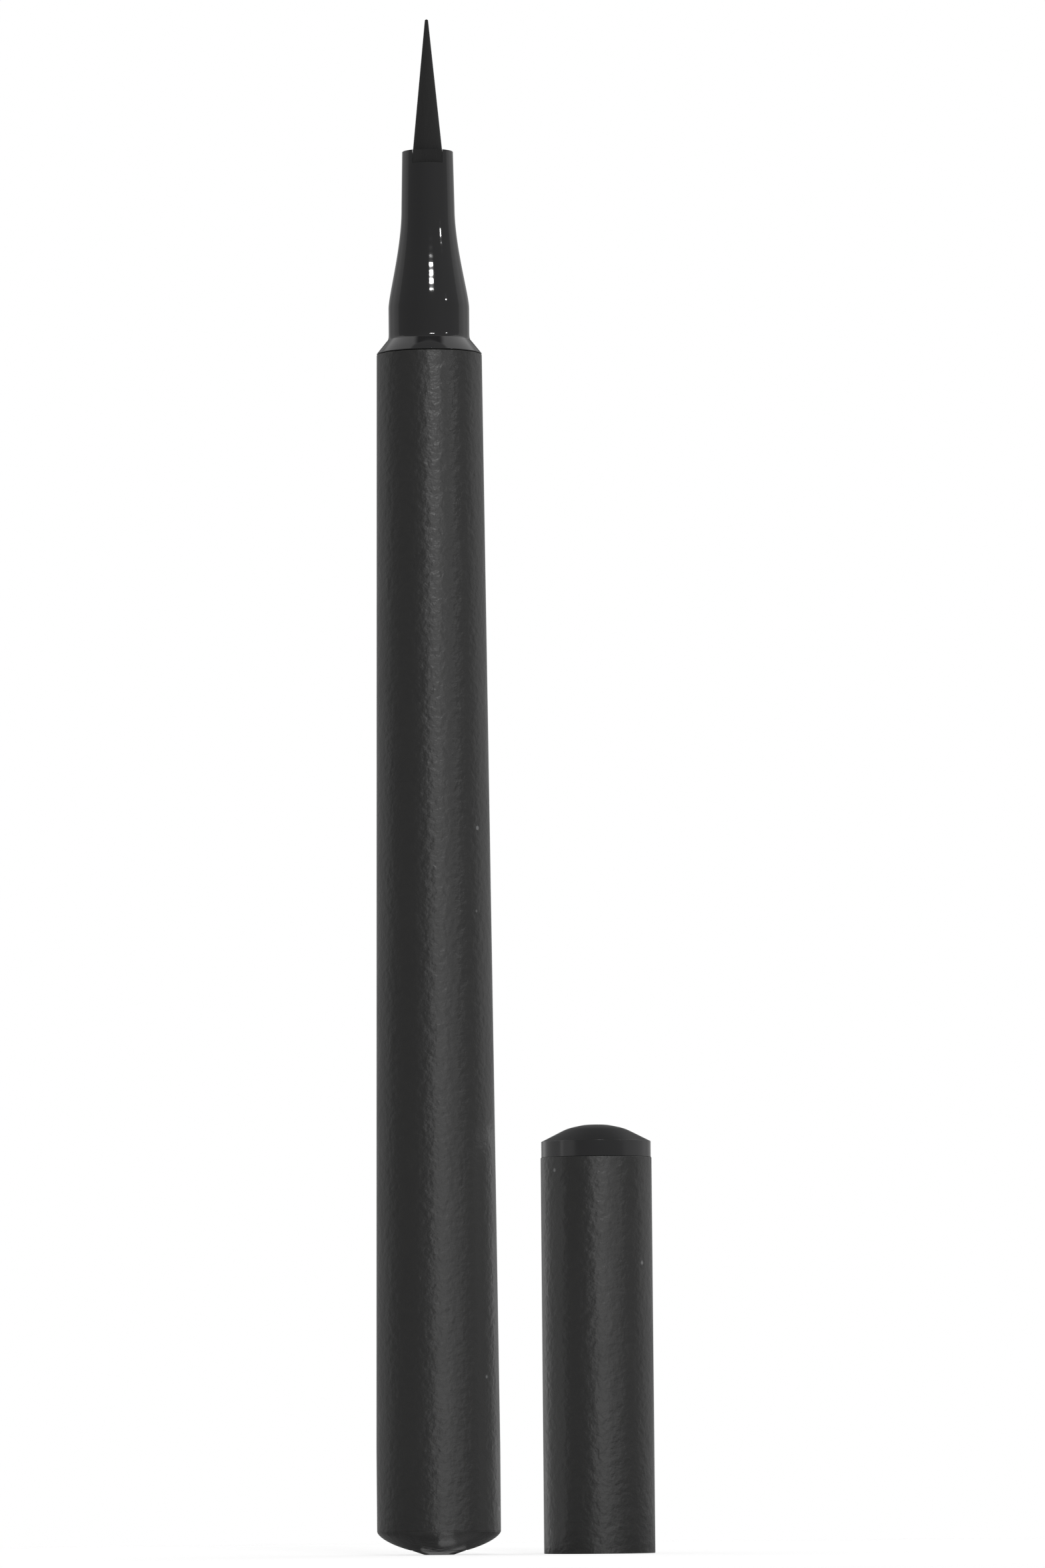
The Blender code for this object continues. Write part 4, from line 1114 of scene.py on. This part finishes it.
def make_floor():
    """A round table top that keeps the shadows."""
    middle = (CAP_X / 2, 0.0, 0.0)
    bpy.ops.mesh.primitive_circle_add(vertices=FLOOR_SIDES, radius=FLOOR_R, location=middle)
    floor = bpy.context.object
    floor.name = "table_top"
    edit_all()
    bpy.ops.mesh.edge_face_add()
    bpy.ops.mesh.inset(thickness=FLOOR_R - FLOOR_FADE_START)
    bpy.ops.object.mode_set(mode="OBJECT")
    bpy.ops.object.transform_apply(location=True, rotation=True, scale=True)
    floor.data.materials.append(white_laminate(middle))


class EYELINER_OT_studio(bpy.types.Operator):
    """Set the table top, the pale room, the lamps and the camera"""

    bl_idname = "eyeliner.studio"
    bl_label = "Studio"

    def execute(self, context):
        scene = context.scene
        studio = scene.studio_settings
        scene.view_settings.view_transform = "Standard"
        make_world(scene, studio)
        make_floor()
        centre = Vector((0, 0, (CAD_BOX[0].z + CAD_BOX[1].z) / 2))
        for name, lamp in LAMPS.items():
            add_lamp(name, centre, *lamp)
        for name, card in CARDS.items():
            add_card(name, *card)
        bpy.ops.object.camera_add()
        camera = bpy.context.object
        camera.name = "camera"
        camera.data.lens = studio.lens
        camera.data.sensor_width = SENSOR_WIDTH
        camera.data.clip_start = CAMERA_CLIP
        place = Vector((studio.camera_aside, -studio.camera_distance, studio.camera_height))
        camera.matrix_world = (
            Matrix.Translation(place)
            @ Matrix.Rotation(math.pi / 2 + studio.camera_pitch, 4, "X")
            @ Matrix.Rotation(-studio.camera_roll, 4, "Z")
        )
        scene.camera = camera
        return {"FINISHED"}


class EYELINER_PT_panel(bpy.types.Panel):
    """Lists the pieces and their sizes"""

    bl_label = "Eyeliner"
    bl_idname = "EYELINER_PT_panel"
    bl_space_type = "VIEW_3D"
    bl_region_type = "UI"
    bl_category = "Eyeliner"

    def draw(self, context):
        layout = self.layout
        for operator in OPERATORS:
            layout.operator(operator.bl_idname)
        for group in GROUPS:
            box = layout.box()
            settings = getattr(context.scene, group)
            for name in settings.bl_rna.properties.keys():
                if name not in ("rna_type", "name"):
                    box.prop(settings, name)


GROUPS = {
    "pen_sizes": PenSizes,
    "cap_sizes": CapSizes,
    "finish_colours": FinishColours,
    "studio_settings": StudioSettings,
}
OPERATORS = (
    EYELINER_OT_barrel,
    EYELINER_OT_tail_plug,
    EYELINER_OT_nozzle,
    EYELINER_OT_nib,
    EYELINER_OT_cap_shell,
    EYELINER_OT_cap_crown,
    EYELINER_OT_inner_cap,
    EYELINER_OT_cap_spring,
    EYELINER_OT_inner_works,
    EYELINER_OT_studio,
)
CLASSES = (*GROUPS.values(), *OPERATORS, EYELINER_PT_panel)


def register():
    for made in CLASSES:
        bpy.utils.register_class(made)
    for name, group in GROUPS.items():
        setattr(bpy.types.Scene, name, PointerProperty(type=group))


def unregister():
    for name in GROUPS:
        delattr(bpy.types.Scene, name)
    for made in reversed(CLASSES):
        bpy.utils.unregister_class(made)


def main():
    """Makes every piece and the studio."""
    register()
    bpy.ops.eyeliner.barrel()
    bpy.ops.eyeliner.tail_plug()
    bpy.ops.eyeliner.nozzle()
    bpy.ops.eyeliner.nib()
    bpy.ops.eyeliner.cap_shell()
    bpy.ops.eyeliner.cap_crown()
    bpy.ops.eyeliner.inner_cap()
    bpy.ops.eyeliner.cap_spring()
    bpy.ops.eyeliner.inner_works()
    bpy.ops.eyeliner.studio()


if __name__ == "__main__":
    main()
